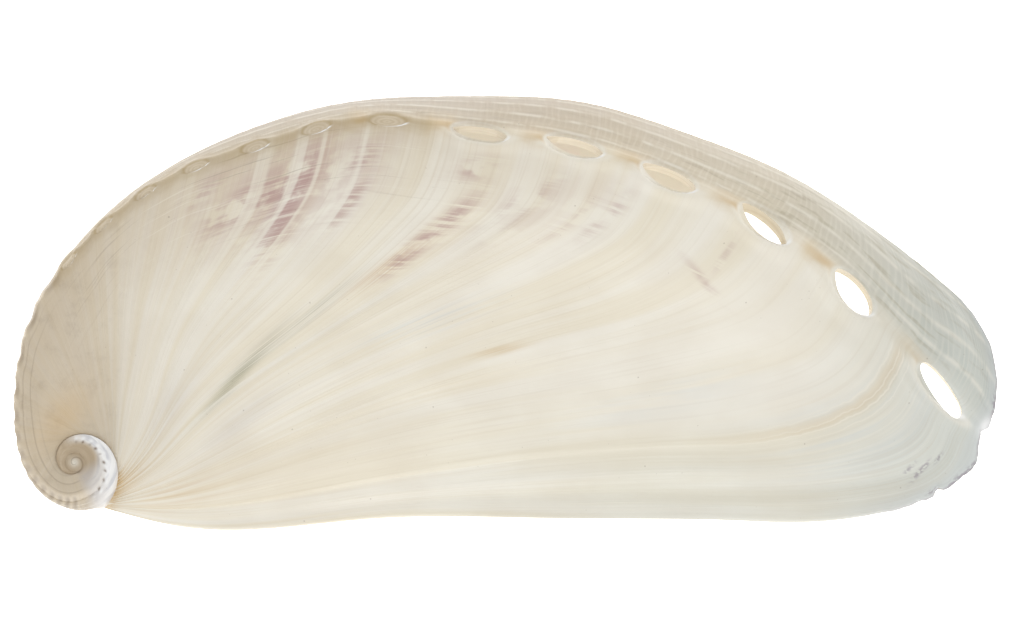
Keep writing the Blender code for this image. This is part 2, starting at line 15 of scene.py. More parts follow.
import bmesh
import bpy
import numpy as np
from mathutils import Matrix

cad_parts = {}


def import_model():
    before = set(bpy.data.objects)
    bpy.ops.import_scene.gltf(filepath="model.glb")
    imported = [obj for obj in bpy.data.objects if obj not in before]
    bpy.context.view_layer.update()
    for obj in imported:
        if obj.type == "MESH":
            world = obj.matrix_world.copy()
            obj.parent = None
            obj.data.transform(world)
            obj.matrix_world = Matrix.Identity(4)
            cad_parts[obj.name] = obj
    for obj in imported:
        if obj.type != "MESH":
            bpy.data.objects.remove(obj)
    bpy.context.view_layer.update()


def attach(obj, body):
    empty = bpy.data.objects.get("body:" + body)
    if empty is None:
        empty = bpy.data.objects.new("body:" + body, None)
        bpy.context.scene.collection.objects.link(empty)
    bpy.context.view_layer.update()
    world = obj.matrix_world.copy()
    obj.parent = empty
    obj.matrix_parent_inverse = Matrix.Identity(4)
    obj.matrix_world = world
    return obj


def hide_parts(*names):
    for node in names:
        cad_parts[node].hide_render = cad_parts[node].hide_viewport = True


LOG = logging.getLogger("abalone_shell")
MM = 0.001
Array = np.ndarray
Point = tuple[float, float]
Colour = tuple[float, float, float, float]
Edge = list[tuple[float, int]]
Socket = bpy.types.NodeSocket
Material = bpy.types.Material

FULL_TURN = 2 * math.pi
WELD = 0.002 * MM
SLIVER = 0.001 * MM
# Distances from the row of holes of the two spiral grooves on the oldest part
WHORL_LINES = (0.85, 1.75)


class Side(Enum):
    """Sides of the shell's wall, each with a finish of its own, in the order of the material slots."""

    OUTER = 0
    LINING = 1
    EDGE = 2


def spline(knots: Array, values: Array, at: Array) -> Array:
    """Natural cubic spline through numbers or points.

    Args:
        knots: rising places of the values.
        values: a number or an array of numbers at each knot.
        at: places to read.

    Returns:
        The values at those places.
    """
    knots = np.asarray(knots, float)
    values = np.asarray(values, float)
    at = np.asarray(at, float)
    gaps = np.diff(knots)
    slopes = np.diff(values, axis=0) / gaps.reshape((-1,) + (1,) * (values.ndim - 1))
    system = np.eye(len(knots))
    right = np.zeros_like(values)
    for i in range(1, len(knots) - 1):
        system[i, i - 1:i + 2] = gaps[i - 1], 2 * (gaps[i - 1] + gaps[i]), gaps[i]
        right[i] = 6 * (slopes[i] - slopes[i - 1])
    bends = np.linalg.solve(system, right.reshape(len(knots), -1)).reshape(values.shape)
    i = np.clip(np.searchsorted(knots, at, side="right") - 1, 0, len(knots) - 2)
    shape = (-1,) + (1,) * (values.ndim - 1)
    gap = gaps[i].reshape(shape)
    after = (at - knots[i]).reshape(shape)
    before = gap - after
    straight = values[i] * before / gap + values[i + 1] * after / gap
    return straight + (bends[i] * (before ** 3 / gap - gap * before)
                       + bends[i + 1] * (after ** 3 / gap - gap * after)) / 6


def bent_plate(points: Array, at: Array) -> Array:
    """Height of the thin plate that bends least through a few points.

    Args:
        points: X, Y and height of each point.
        at: plan points to read, in an array of any shape.

    Returns:
        The heights there.
    """
    points = np.asarray(points, float)

    def bending(a: Array, b: Array) -> Array:
        """How much each point of b bends the plate at each point of a."""
        square = np.sum((a[:, None, :] - b[None, :, :]) ** 2, axis=-1)
        return square * np.log(square + 1e-9)

    def flat(a: Array) -> Array:
        """Terms of the plate's own tilt."""
        return np.column_stack([np.ones(len(a)), a])

    plan = points[:, :2]
    system = np.zeros((len(points) + 3, len(points) + 3))
    system[:-3, :-3] = bending(plan, plan)
    system[:-3, -3:] = flat(plan)
    system[-3:, :-3] = flat(plan).T
    weights = np.linalg.solve(system, np.append(points[:, 2], np.zeros(3)))
    rows = at.reshape(-1, 2)
    heights = bending(rows, plan) @ weights[:-3] + flat(rows) @ weights[-3:]
    return heights.reshape(at.shape[:-1])


def smooth_step(x: Array) -> Array:
    """Rises smoothly from 0 to 1 as x does."""
    x = np.clip(x, 0.0, 1.0)
    return x * x * (3 - 2 * x)


def bell(x: Array) -> Array:
    """Smooth bump of height 1 about 0."""
    return np.exp(-np.square(x))


@dataclass(frozen=True)
class Suture:
    """Seam between the last whorl and the spire: an equiangular spiral about the nucleus.

    Attributes:
        nucleus: plan point of its middle.
        start_radius, start_angle: its start at the lip.
        expansion: how much wider it gets in one turn.
    """

    nucleus: Point = (-43.0, -15.0)
    start_radius: float = 5.44
    start_angle: float = -57.8
    expansion: float = 5.44

    def radius(self, turn: Array) -> Array:
        """Radius of the suture after a turn, in degrees, from its start at the lip."""
        return self.start_radius * self.expansion ** (-np.asarray(turn, float) / 360)

    def about(self, radius: Array, turn: Array) -> Array:
        """Plan points at a radius and a turn about the nucleus.

        Args:
            radius: in millimetres.
            turn: in degrees from the suture's start.

        Returns:
            The points, in the shape of the two together.
        """
        angle = np.radians(self.start_angle + np.asarray(turn, float))
        radius = np.asarray(radius, float)
        return np.stack([self.nucleus[0] + radius * np.cos(angle), self.nucleus[1] + radius * np.sin(angle)], -1)

    def point(self, turn: Array) -> Array:
        """Plan points of the suture itself."""
        return self.about(self.radius(turn), turn)


@dataclass(frozen=True)
class GrowthPlan:
    """Lines of growth seen from above, from the suture over the row of holes to the margin.

    Attributes:
        suture: where the lines start.
        lip_age, whorl_age: ages of the youngest and of the oldest line.
        line_steps: shares of a line's length at which its points are listed.
        lines: age of a line, then its points after the suture.
        straight: age of an old line, which runs straight, and its point on the row of holes.
        band_steps: shares of the outer band's width at which its points are listed.
        band: points of the outer band at each age.
        ages: age of every line above.
        turns: turn of the suture, in degrees, where each line starts.
        shelf: width of the inner shelf at each age.
    """

    suture: Suture = Suture()
    lip_age: float = -0.8
    whorl_age: float = 28.6
    line_steps: tuple[float, ...] = (0.0, 0.1, 0.3, 0.5, 0.7, 0.88, 0.95, 1.0)
    lines: tuple = (
        (-0.8, (-31.6, -21.6), (-13.6, -20.7), (4.4, -20.6), (22.4, -20.8), (37.9, -20.0),
         (45.1, -16.8), (47.3, -11.9)),
        (0.0, (-31.9, -20.7), (-14.8, -19.0), (2.2, -17.4), (19.4, -16.8), (35.2, -15.8),
         (41.9, -12.8), (43.5, -7.8)),
        (0.5, (-32.4, -19.7), (-16.6, -17.6), (-0.6, -15.1), (15.9, -13.6), (31.6, -11.6),
         (37.6, -8.0), (39.8, -3.5)),
        (1.0, (-33.4, -18.5), (-18.6, -14.4), (-3.6, -10.9), (11.9, -8.5), (26.4, -5.6), (31.6, -2.8), (34.6, 2.0)),
        (2.0, (-34.1, -17.4), (-21.9, -12.3), (-8.6, -7.0), (5.4, -2.8), (17.6, 1.0), (22.4, 4.4), (25.7, 8.8)),
        (3.0, (-34.9, -16.6), (-25.4, -10.6), (-13.6, -4.4), (-1.1, 0.7), (9.6, 5.2), (13.7, 8.6), (16.2, 13.4)),
        (4.0, (-35.6, -16.0), (-28.4, -9.6), (-18.6, -3.1), (-7.8, 3.0), (1.6, 8.2), (5.0, 11.6), (6.8, 16.5)),
        (5.0, (-36.1, -15.6), (-31.0, -10.0), (-23.8, -4.3), (-15.4, 1.9), (-7.4, 8.6), (-4.2, 12.6), (-2.6, 17.8)),
        (6.0, (-36.5, -14.8), (-32.8, -9.2), (-28.0, -3.3), (-21.6, 2.7), (-15.4, 9.7), (-13.0, 14.0), (-11.8, 19.0)),
        (7.6, (-36.9, -13.6), (-34.6, -8.2), (-32.6, -2.6), (-29.2, 3.2), (-25.3, 9.0), (-23.6, 12.6), (-22.5, 17.1)),
        (9.0, (-38.3, -13.5), (-37.3, -9.0), (-36.2, -4.3), (-34.8, 0.9), (-32.8, 6.9), (-31.8, 10.4), (-30.8, 14.4)),
        (11.0, (-39.2, -11.8), (-39.4, -7.3), (-39.6, -2.8), (-39.8, 1.8), (-40.0, 5.9), (-40.0, 7.5), (-40.0, 8.6)),
    )
    straight: tuple = (
        (13.0, (-46.1, 1.2)), (16.0, (-48.9, -9.0)), (19.0, (-48.1, -15.0)),
        (22.0, (-45.7, -18.1)), (25.0, (-43.3, -18.9)), (28.6, (-40.9, -17.9)),
    )
    band_steps: tuple[float, ...] = (0.0, 0.35, 0.7, 1.0)
    band: tuple = (
        ((48.9, -9.3), (48.4, -3.3), (45.6, 1.2)), ((45.4, -4.6), (44.9, 0.0), (42.6, 3.8)),
        ((41.2, -1.3), (41.0, 3.0), (39.2, 6.5)), ((35.8, 4.0), (36.2, 7.2), (35.1, 9.5)),
        ((26.8, 10.5), (27.4, 12.9), (26.7, 14.5)), ((17.1, 14.8), (17.5, 16.9), (17.2, 18.2)),
        ((7.4, 18.0), (7.7, 20.0), (7.6, 21.0)), ((-2.3, 19.4), (-2.1, 21.0), (-2.1, 21.6)),
        ((-11.7, 20.2), (-11.6, 21.1), (-11.6, 21.4)), ((-22.7, 18.3), (-22.9, 19.1), (-22.9, 19.1)),
        ((-31.2, 15.2), (-31.4, 15.6), (-31.2, 15.2)), ((-40.35, 9.1), (-40.3, 9.0), (-39.6, 8.2)),
        ((-46.4, 1.3), (-46.1, 1.1), (-45.0, 0.6)), ((-48.95, -9.0), (-48.4, -9.0), (-47.0, -9.0)),
        ((-48.2, -15.1), (-47.7, -14.8), (-46.4, -14.1)), ((-46.05, -18.4), (-45.7, -18.0), (-44.8, -17.2)),
        ((-43.4, -19.5), (-43.3, -19.7), (-43.1, -19.2)), ((-40.6, -18.8), (-40.3, -19.4), (-40.1, -19.6)),
    )
    ages: tuple[float, ...] = (-0.8, 0.0, 0.5, 1.0, 2.0, 3.0, 4.0, 5.0, 6.0, 7.6, 9.0, 11.0, 13.0, 16.0, 19.0,
                               22.0, 25.0, 28.6)
    turns: tuple[float, ...] = (0, 2, 3.5, 5, 8.5, 12, 17, 22, 28, 38, 52, 72, 95, 135, 180, 230, 290, 360)
    shelf: tuple[float, ...] = (0.8, 1.0, 1.4, 2.2, 4.8, 6.4, 6.0, 5.2, 4.9, 4.6, 4.2, 4.0, 3.8, 3.2, 2.6, 2.2,
                                1.8, 2.0)

    def turn(self, ages: Array) -> Array:
        """Turn of the suture, in degrees, where the line of each age starts."""
        return np.interp(ages, self.ages, self.turns)

    def shelf_width(self, ages: Array) -> Array:
        """Width of the shelf inside the margin at each age."""
        return spline(self.ages, self.shelf, ages)

    def net(self) -> Array:
        """Listed points of every line of growth, the suture's own first.

        Returns:
            Plan points, a row for each age.
        """
        rows = []
        for age, *points in self.lines:
            start = self.suture.point(self.turns[self.ages.index(age)])
            rows.append([start, *np.array(points)])
        for age, end in self.straight:
            start = self.suture.point(self.turns[self.ages.index(age)])
            rows.append([start + (np.array(end) - start) * step for step in self.line_steps])
        return np.array(rows)

    def line(self, ages: Array, readings: int = 241) -> Array:
        """Finely read lines of growth.

        Args:
            ages: age of each line.
            readings: how many points each line is read at.

        Returns:
            Plan points, one row for each age, from the suture to the row of holes.
        """
        fine = np.linspace(0, 1, readings)
        along = spline(self.line_steps, self.net().swapaxes(0, 1), fine).swapaxes(0, 1)
        plan = spline(self.ages, along, ages)
        miss = self.suture.point(self.turn(ages)) - plan[:, 0]
        return plan + miss[:, None, :] * ((1 - fine) ** 4)[None, :, None]

    def outer_band(self, ages: Array, steps: Array) -> Array:
        """Plan points of the outer band at each age and each share of its width.

        Args:
            ages: age of each line.
            steps: shares of the band's width.

        Returns:
            Plan points, ages by steps.
        """
        net = np.concatenate([self.net()[:, -1:], np.array(self.band)], axis=1)
        across = spline(self.band_steps, net.swapaxes(0, 1), steps).swapaxes(0, 1)
        return spline(self.ages, across, ages)


@dataclass(frozen=True)
class Dome:
    """Heights of the shell over its plan.

    Attributes:
        points: X, Y and height of the places that the dome passes through.
        old_ages: ages of the oldest lines, whose heights at suture, crest and row are listed next.
        lip: height of the lip at each listed step of the last line of growth.
        nucleus_height: height of the spire's middle.
    """

    points: tuple = (
        (-40.1, -19.6, 0.9), (-36.0, -20.9, 0.2), (-31.6, -21.6, 0.0), (-22.0, -21.2, 0.0), (-13.6, -20.7, 0.0),
        (-4.6, -20.5, 0.0), (4.4, -20.6, 0.0), (13.4, -20.7, 0.0), (22.4, -20.8, 0.0), (31.0, -20.8, 0.0),
        (37.9, -20.0, 0.0), (42.5, -18.6, 0.1), (45.1, -16.8, 0.5), (47.3, -11.9, 2.0),
        (42.0, -13.5, 3.6), (43.5, -7.8, 4.4), (33.0, -15.0, 4.2), (32.5, -7.5, 7.3), (34.6, 2.0, 8.0),
        (20.0, -15.5, 4.7), (20.0, -9.0, 8.6), (20.0, -2.0, 11.6), (21.0, 5.0, 12.7), (25.7, 8.8, 10.8),
        (16.2, 13.4, 12.8), (3.0, -15.5, 4.8), (3.0, -9.0, 9.2), (3.0, -1.0, 13.2), (4.0, 7.0, 15.6),
        (5.0, 12.0, 15.6), (6.8, 16.5, 14.1),
        (-14.0, -15.5, 4.9), (-14.0, -9.0, 9.4), (-14.0, -1.0, 13.6), (-12.0, 7.0, 16.2), (-11.5, 14.0, 16.2),
        (-11.8, 19.0, 14.5), (-28.0, -16.0, 4.9), (-28.0, -9.0, 8.9), (-27.0, -1.0, 12.2), (-25.0, 7.0, 14.2),
        (-22.5, 17.1, 13.4), (-36.5, -16.8, 3.6), (-38.8, -15.2, 4.3), (-36.0, -11.5, 6.6), (-36.0, -4.0, 9.3),
        (-34.5, 4.0, 11.4), (-30.8, 14.4, 11.9), (-40.0, 8.6, 9.6), (-41.5, -11.6, 5.6), (-42.5, -6.0, 7.3),
        (-42.5, 1.0, 8.9), (-46.1, 1.2, 7.8), (-48.9, -9.0, 5.6), (-45.3, -13.6, 5.8),
    )
    old_ages: tuple[float, ...] = (11.0, 13.0, 16.0, 19.0, 22.0, 25.0, 28.6)
    old_suture: tuple[float, ...] = (5.2, 5.5, 5.7, 5.9, 6.0, 6.0, 5.9)
    old_crest: tuple[float, ...] = (9.6, 8.4, 6.9, 6.3, 6.1, 6.0, 5.9)
    old_row: tuple[float, ...] = (9.4, 7.6, 5.7, 4.9, 4.5, 4.4, 4.5)
    lip: tuple[float, ...] = (0.9, 0.0, 0.0, 0.7, 0.3, 0.0, 0.7, 2.0)
    nucleus_height: float = 6.25

    def old_heights(self, ages: Array, steps: Array) -> Array:
        """Heights of the oldest lines at each step from the suture to the row of holes.

        Args:
            ages: age of each line.
            steps: share of its line's length at each point.

        Returns:
            A height for each point.
        """
        suture = np.interp(ages, self.old_ages, self.old_suture)[:, None]
        crest = np.interp(ages, self.old_ages, self.old_crest)[:, None]
        row = np.interp(ages, self.old_ages, self.old_row)[:, None]
        height = suture + (crest - suture) * np.sin(np.pi / 2 * steps / 0.9)
        return height - (height[:, -1:] - row) * np.clip((steps - 0.6) / 0.4, 0, 1) ** 2.4

    def line_heights(self, growth: GrowthPlan, ages: Array, plan: Array) -> Array:
        """Heights along the lines of growth.

        Args:
            growth: the plan that the lines come from.
            ages: age of each line.
            plan: plan points of each line.

        Returns:
            A height for each point, none below the table.
        """
        runs = np.cumsum(np.linalg.norm(np.diff(plan, axis=1), axis=-1), axis=1)
        steps = np.concatenate([np.zeros((len(plan), 1)), runs], axis=1)
        steps = steps / steps[:, -1:]
        dome = bent_plate(self.points, plan)
        height = dome + (self.old_heights(ages, steps) - dome) * smooth_step((ages - 11.0) / 6.0)[:, None]
        newness = 1 - smooth_step((ages - growth.lip_age) / 1.0)[:, None]
        lip = np.maximum(spline(growth.line_steps, self.lip, steps.ravel()).reshape(steps.shape), 0.0)
        return np.maximum(height + (lip - height) * newness, 0.0)

    def band_heights(self, growth: GrowthPlan, ages: Array, row: Array, steps: Array) -> Array:
        """Heights down the outer band, from the row of holes to the margin on the table.

        Args:
            growth: the plan that the lines come from.
            ages: age of each line.
            row: height of each line at the row of holes.
            steps: shares of the band's width.

        Returns:
            Heights, ages by steps.
        """
        last = growth.whorl_age
        foot = self.points[0][2] * smooth_step((ages - 26.5) / (last - 26.5))[:, None]
        return foot + (row[:, None] - foot) * (1 - steps ** 1.6)[None, :]


@dataclass(frozen=True)
class OpenHole:
    """An open breathing hole: a lens in plan, blunter at one end.

    Attributes:
        centre: plan point of its middle.
        length: size along the row.
        width: size across the row.
        turn: angle of its long axis in degrees.
        blunt: how much wider the end nearer the lip is than the other.
        lean: how far the hole slants towards the middle of the shell, for each millimetre down.
        pinch: how pointed its ends are.
    """

    centre: Point
    length: float
    width: float
    turn: float
    blunt: float = 0.0
    lean: float = 0.42
    pinch: float = 0.25

    def local(self, plan: Array) -> tuple[Array, Array]:
        """Places along and across the hole of plan points.

        Args:
            plan: the plan points.

        Returns:
            Distances along the hole's long axis and across it.
        """
        angle = math.radians(self.turn)
        gap = plan - np.array(self.centre)
        along = gap[..., 0] * math.cos(angle) + gap[..., 1] * math.sin(angle)
        return along, gap[..., 1] * math.cos(angle) - gap[..., 0] * math.sin(angle)

    def ring(self, plan: Array, growth: float) -> Array:
        """Distance from the centre, where 1 is a little outside the hole's edge."""
        along, across = self.local(plan)
        return np.hypot(along / (self.length / 2 + growth), across / (self.width / 2 + growth / 2))

    def outline(self, count: int) -> Array:
        """Points round the edge of the hole, about its centre.

        Args:
            count: how many points.

        Returns:
            Plan points, with the hole's long axis along X.
        """
        angle = np.linspace(0, 2 * np.pi, count, endpoint=False)
        x = np.cos(angle)
        y = np.sin(angle) * (1 - self.pinch * np.abs(x) ** 3) * (1 + self.blunt * x)
        return np.column_stack([x * self.length / 2, y * self.width / 2])


@dataclass(frozen=True)
class HoleRow:
    """The open holes, newest first, and what surrounds them.

    Attributes:
        holes: the holes.
        collar_growth: how far the collar reaches past a hole.
        cut_depth, cut_rise: reach of a cutter down from its top, and up from the surface.
        corners: corners of a hole's outline.
    """

    holes: tuple[OpenHole, ...] = (
        OpenHole((43.4, -7.8), 6.6, 1.85, -50.0, 0.1, 0.2, -0.25),
        OpenHole((34.6, 2.0), 5.6, 2.7, -48.0, 0.1),
        OpenHole((25.7, 8.8), 5.9, 2.4, -36.0, -0.1, 0.8),
        OpenHole((16.2, 13.4), 5.8, 2.1, -22.0, 0.05),
        OpenHole((6.8, 16.5), 5.8, 1.8, -14.0, 0.1),
        OpenHole((-2.6, 17.8), 5.4, 1.5, -9.0, 0.1),
    )
    collar_growth: float = 1.1
    cut_depth: float = 4.5
    cut_rise: float = 1.5
    corners: int = 72

    def ring(self, plan: Array) -> Array:
        """Distance of plan points from the nearest open hole, where 1 is just outside its edge."""
        return np.min([hole.ring(plan, self.collar_growth) for hole in self.holes], axis=0)

    def cutter(self, shell: bpy.types.Object, materials: list[Material]) -> bpy.types.Object:
        """One mesh of slanting lens-shaped prisms, one through each open hole.

        Args:
            shell: the shell before it is cut, which gives each hole its height.
            materials: the shell's materials, so that a cut face finds its finish.

        Returns:
            The cutter, which is not rendered.
        """
        work = bmesh.new()
        for hole in self.holes:
            hit, place, *_ = shell.ray_cast((hole.centre[0] * MM, hole.centre[1] * MM, 1.0), (0.0, 0.0, -1.0))
            surface = place.z / MM if hit else 0.0
            angle = math.radians(hole.turn)
            x, y = hole.outline(self.corners).T
            plan = np.column_stack([hole.centre[0] + x * math.cos(angle) - y * math.sin(angle),
                                    hole.centre[1] + x * math.sin(angle) + y * math.cos(angle)])
            rings = []
            inward = np.array([math.sin(angle), -math.cos(angle)]) * hole.lean
            for rise in (self.cut_rise - self.cut_depth, self.cut_rise):
                moved = plan - inward * rise
                rings.append([work.verts.new((px * MM, py * MM, (surface + rise) * MM)) for px, py in moved])
            low, high = rings
            work.faces.new(low[::-1])
            work.faces.new(high)
            for i in range(self.corners):
                j = (i + 1) % self.corners
                work.faces.new((low[i], low[j], high[j], high[i]))
        bmesh.ops.recalc_face_normals(work, faces=work.faces[:])
        for face in work.faces:
            face.material_index = Side.EDGE.value
            face.smooth = True
        mesh = bpy.data.meshes.new("hole_cutter")
        for material in materials:
            mesh.materials.append(material)
        work.to_mesh(mesh)
        work.free()
        cutter = bpy.data.objects.new("hole_cutter", mesh)
        cutter.hide_render = True
        cutter.display_type = "WIRE"
        bpy.context.scene.collection.objects.link(cutter)
        return cutter


class Field:
    """A number at every point of a surface, carried by a node's output."""

    def __init__(self, sheet: "NodeSheet", socket: Socket) -> None:
        """Keeps the sheet that the number is worked out on."""
        self.sheet = sheet
        self.socket = socket

    def __add__(self, other: "Field | float") -> "Field":
        """Sum."""
        return self.sheet.math("ADD", self, other)

    def __radd__(self, other: float) -> "Field":
        """Sum, with the plain number first."""
        return self.sheet.math("ADD", other, self)

    def __sub__(self, other: "Field | float") -> "Field":
        """Difference."""
        return self.sheet.math("SUBTRACT", self, other)

    def __rsub__(self, other: float) -> "Field":
        """Difference, with the plain number first."""
        return self.sheet.math("SUBTRACT", other, self)

    def __mul__(self, other: "Field | float") -> "Field":
        """Product."""
        return self.sheet.math("MULTIPLY", self, other)

    def __rmul__(self, other: float) -> "Field":
        """Product, with the plain number first."""
        return self.sheet.math("MULTIPLY", other, self)

    def __truediv__(self, other: "Field | float") -> "Field":
        """Quotient."""
        return self.sheet.math("DIVIDE", self, other)


Number = Field | float


class NodeSheet:
    """Writes formulas as nodes, in a shader tree or a Geometry Nodes tree."""

    def __init__(self, tree: bpy.types.NodeTree) -> None:
        """Starts on an existing tree."""
        self.tree = tree

    def node(self, kind: str, **settings: object) -> bpy.types.Node:
        """Adds a node and sets its options.

        Args:
            kind: the node's type.
            settings: its options by name.

        Returns:
            The node.
        """
        node = self.tree.nodes.new(kind)
        node.location = (220 * (len(self.tree.nodes) % 24), -260 * (len(self.tree.nodes) // 24))
        for name, value in settings.items():
            setattr(node, name, value)
        return node

    def put(self, value: object, socket: Socket) -> None:
        """Links a field or an output to a socket, or writes a plain value on it.

        Args:
            value: what goes in.
            socket: where it goes.
        """
        if isinstance(value, Field):
            self.tree.links.new(value.socket, socket)
        elif isinstance(value, Socket):
            self.tree.links.new(value, socket)
        else:
            socket.default_value = value

    def math(self, operation: str, *values: Number) -> Field:
        """One Math node.

        Args:
            operation: what it does.
            values: what it works on.

        Returns:
            Its result.
        """
        node = self.node("ShaderNodeMath", operation=operation)
        for value, socket in zip(values, node.inputs):
            self.put(value, socket)
        return Field(self, node.outputs[0])

    def steps(self, value: Number, low: float, high: float) -> Field:
        """Rises smoothly from 0 to 1 as the value goes from low to high, or falls where low is the larger.

        Args:
            value: what is read.
            low: where the result is 0.
            high: where it is 1.

        Returns:
            A number from 0 to 1.
        """
        node = self.node("ShaderNodeMapRange", interpolation_type="SMOOTHSTEP")
        self.put(value, node.inputs["Value"])
        self.put(min(low, high), node.inputs["From Min"])
        self.put(max(low, high), node.inputs["From Max"])
        self.put(0.0 if low < high else 1.0, node.inputs["To Min"])
        self.put(1.0 if low < high else 0.0, node.inputs["To Max"])
        return Field(self, node.outputs["Result"])

    def bell(self, value: Field) -> Field:
        """Smooth bump of height 1 about 0."""
        return self.math("EXPONENT", value * value * -1.0)

    def window(self, value: Field, low: float, high: float, soft: float) -> Field:
        """1 between low and high, with edges that fade over a width."""
        return self.steps(value, low - soft, low + soft) * self.steps(value, high + soft, high - soft)

    def length(self, x: Field, y: Field) -> Field:
        """Length of a plan vector."""
        return self.math("SQRT", x * x + y * y)

    def vector(self, x: Number, y: Number, z: Number = 0.0) -> Socket:
        """A vector from three numbers.

        Args:
            x, y, z: its parts.

        Returns:
            The vector.
        """
        node = self.node("ShaderNodeCombineXYZ")
        for value, socket in zip((x, y, z), node.inputs):
            self.put(value, socket)
        return node.outputs[0]

    def noise(self, x: Number, y: Number, z: Number = 0.0, detail: float = 2.0, roughness: float = 0.5) -> Field:
        """Soft noise, from 0 to 1 about a half, with a period near 1 along each of its coordinates.

        Args:
            x, y, z: where it is read.
            detail: how many finer layers it has.
            roughness: how strong those are.

        Returns:
            The noise.
        """
        node = self.node("ShaderNodeTexNoise", noise_dimensions="3D")
        self.put(self.vector(x, y, z), node.inputs["Vector"])
        node.inputs["Scale"].default_value = 1.0
        node.inputs["Detail"].default_value = detail
        node.inputs["Roughness"].default_value = roughness
        return Field(self, node.outputs[0])

    def mix(self, share: Number, first: object, second: object) -> Socket:
        """Mixes two colours.

        Args:
            share: how much there is of the second, from 0 to 1.
            first, second: the colours.

        Returns:
            The mixed colour.
        """
        node = self.node("ShaderNodeMix", data_type="RGBA")
        self.put(share, node.inputs[0])
        self.put(first, node.inputs[6])
        self.put(second, node.inputs[7])
        return node.outputs[2]


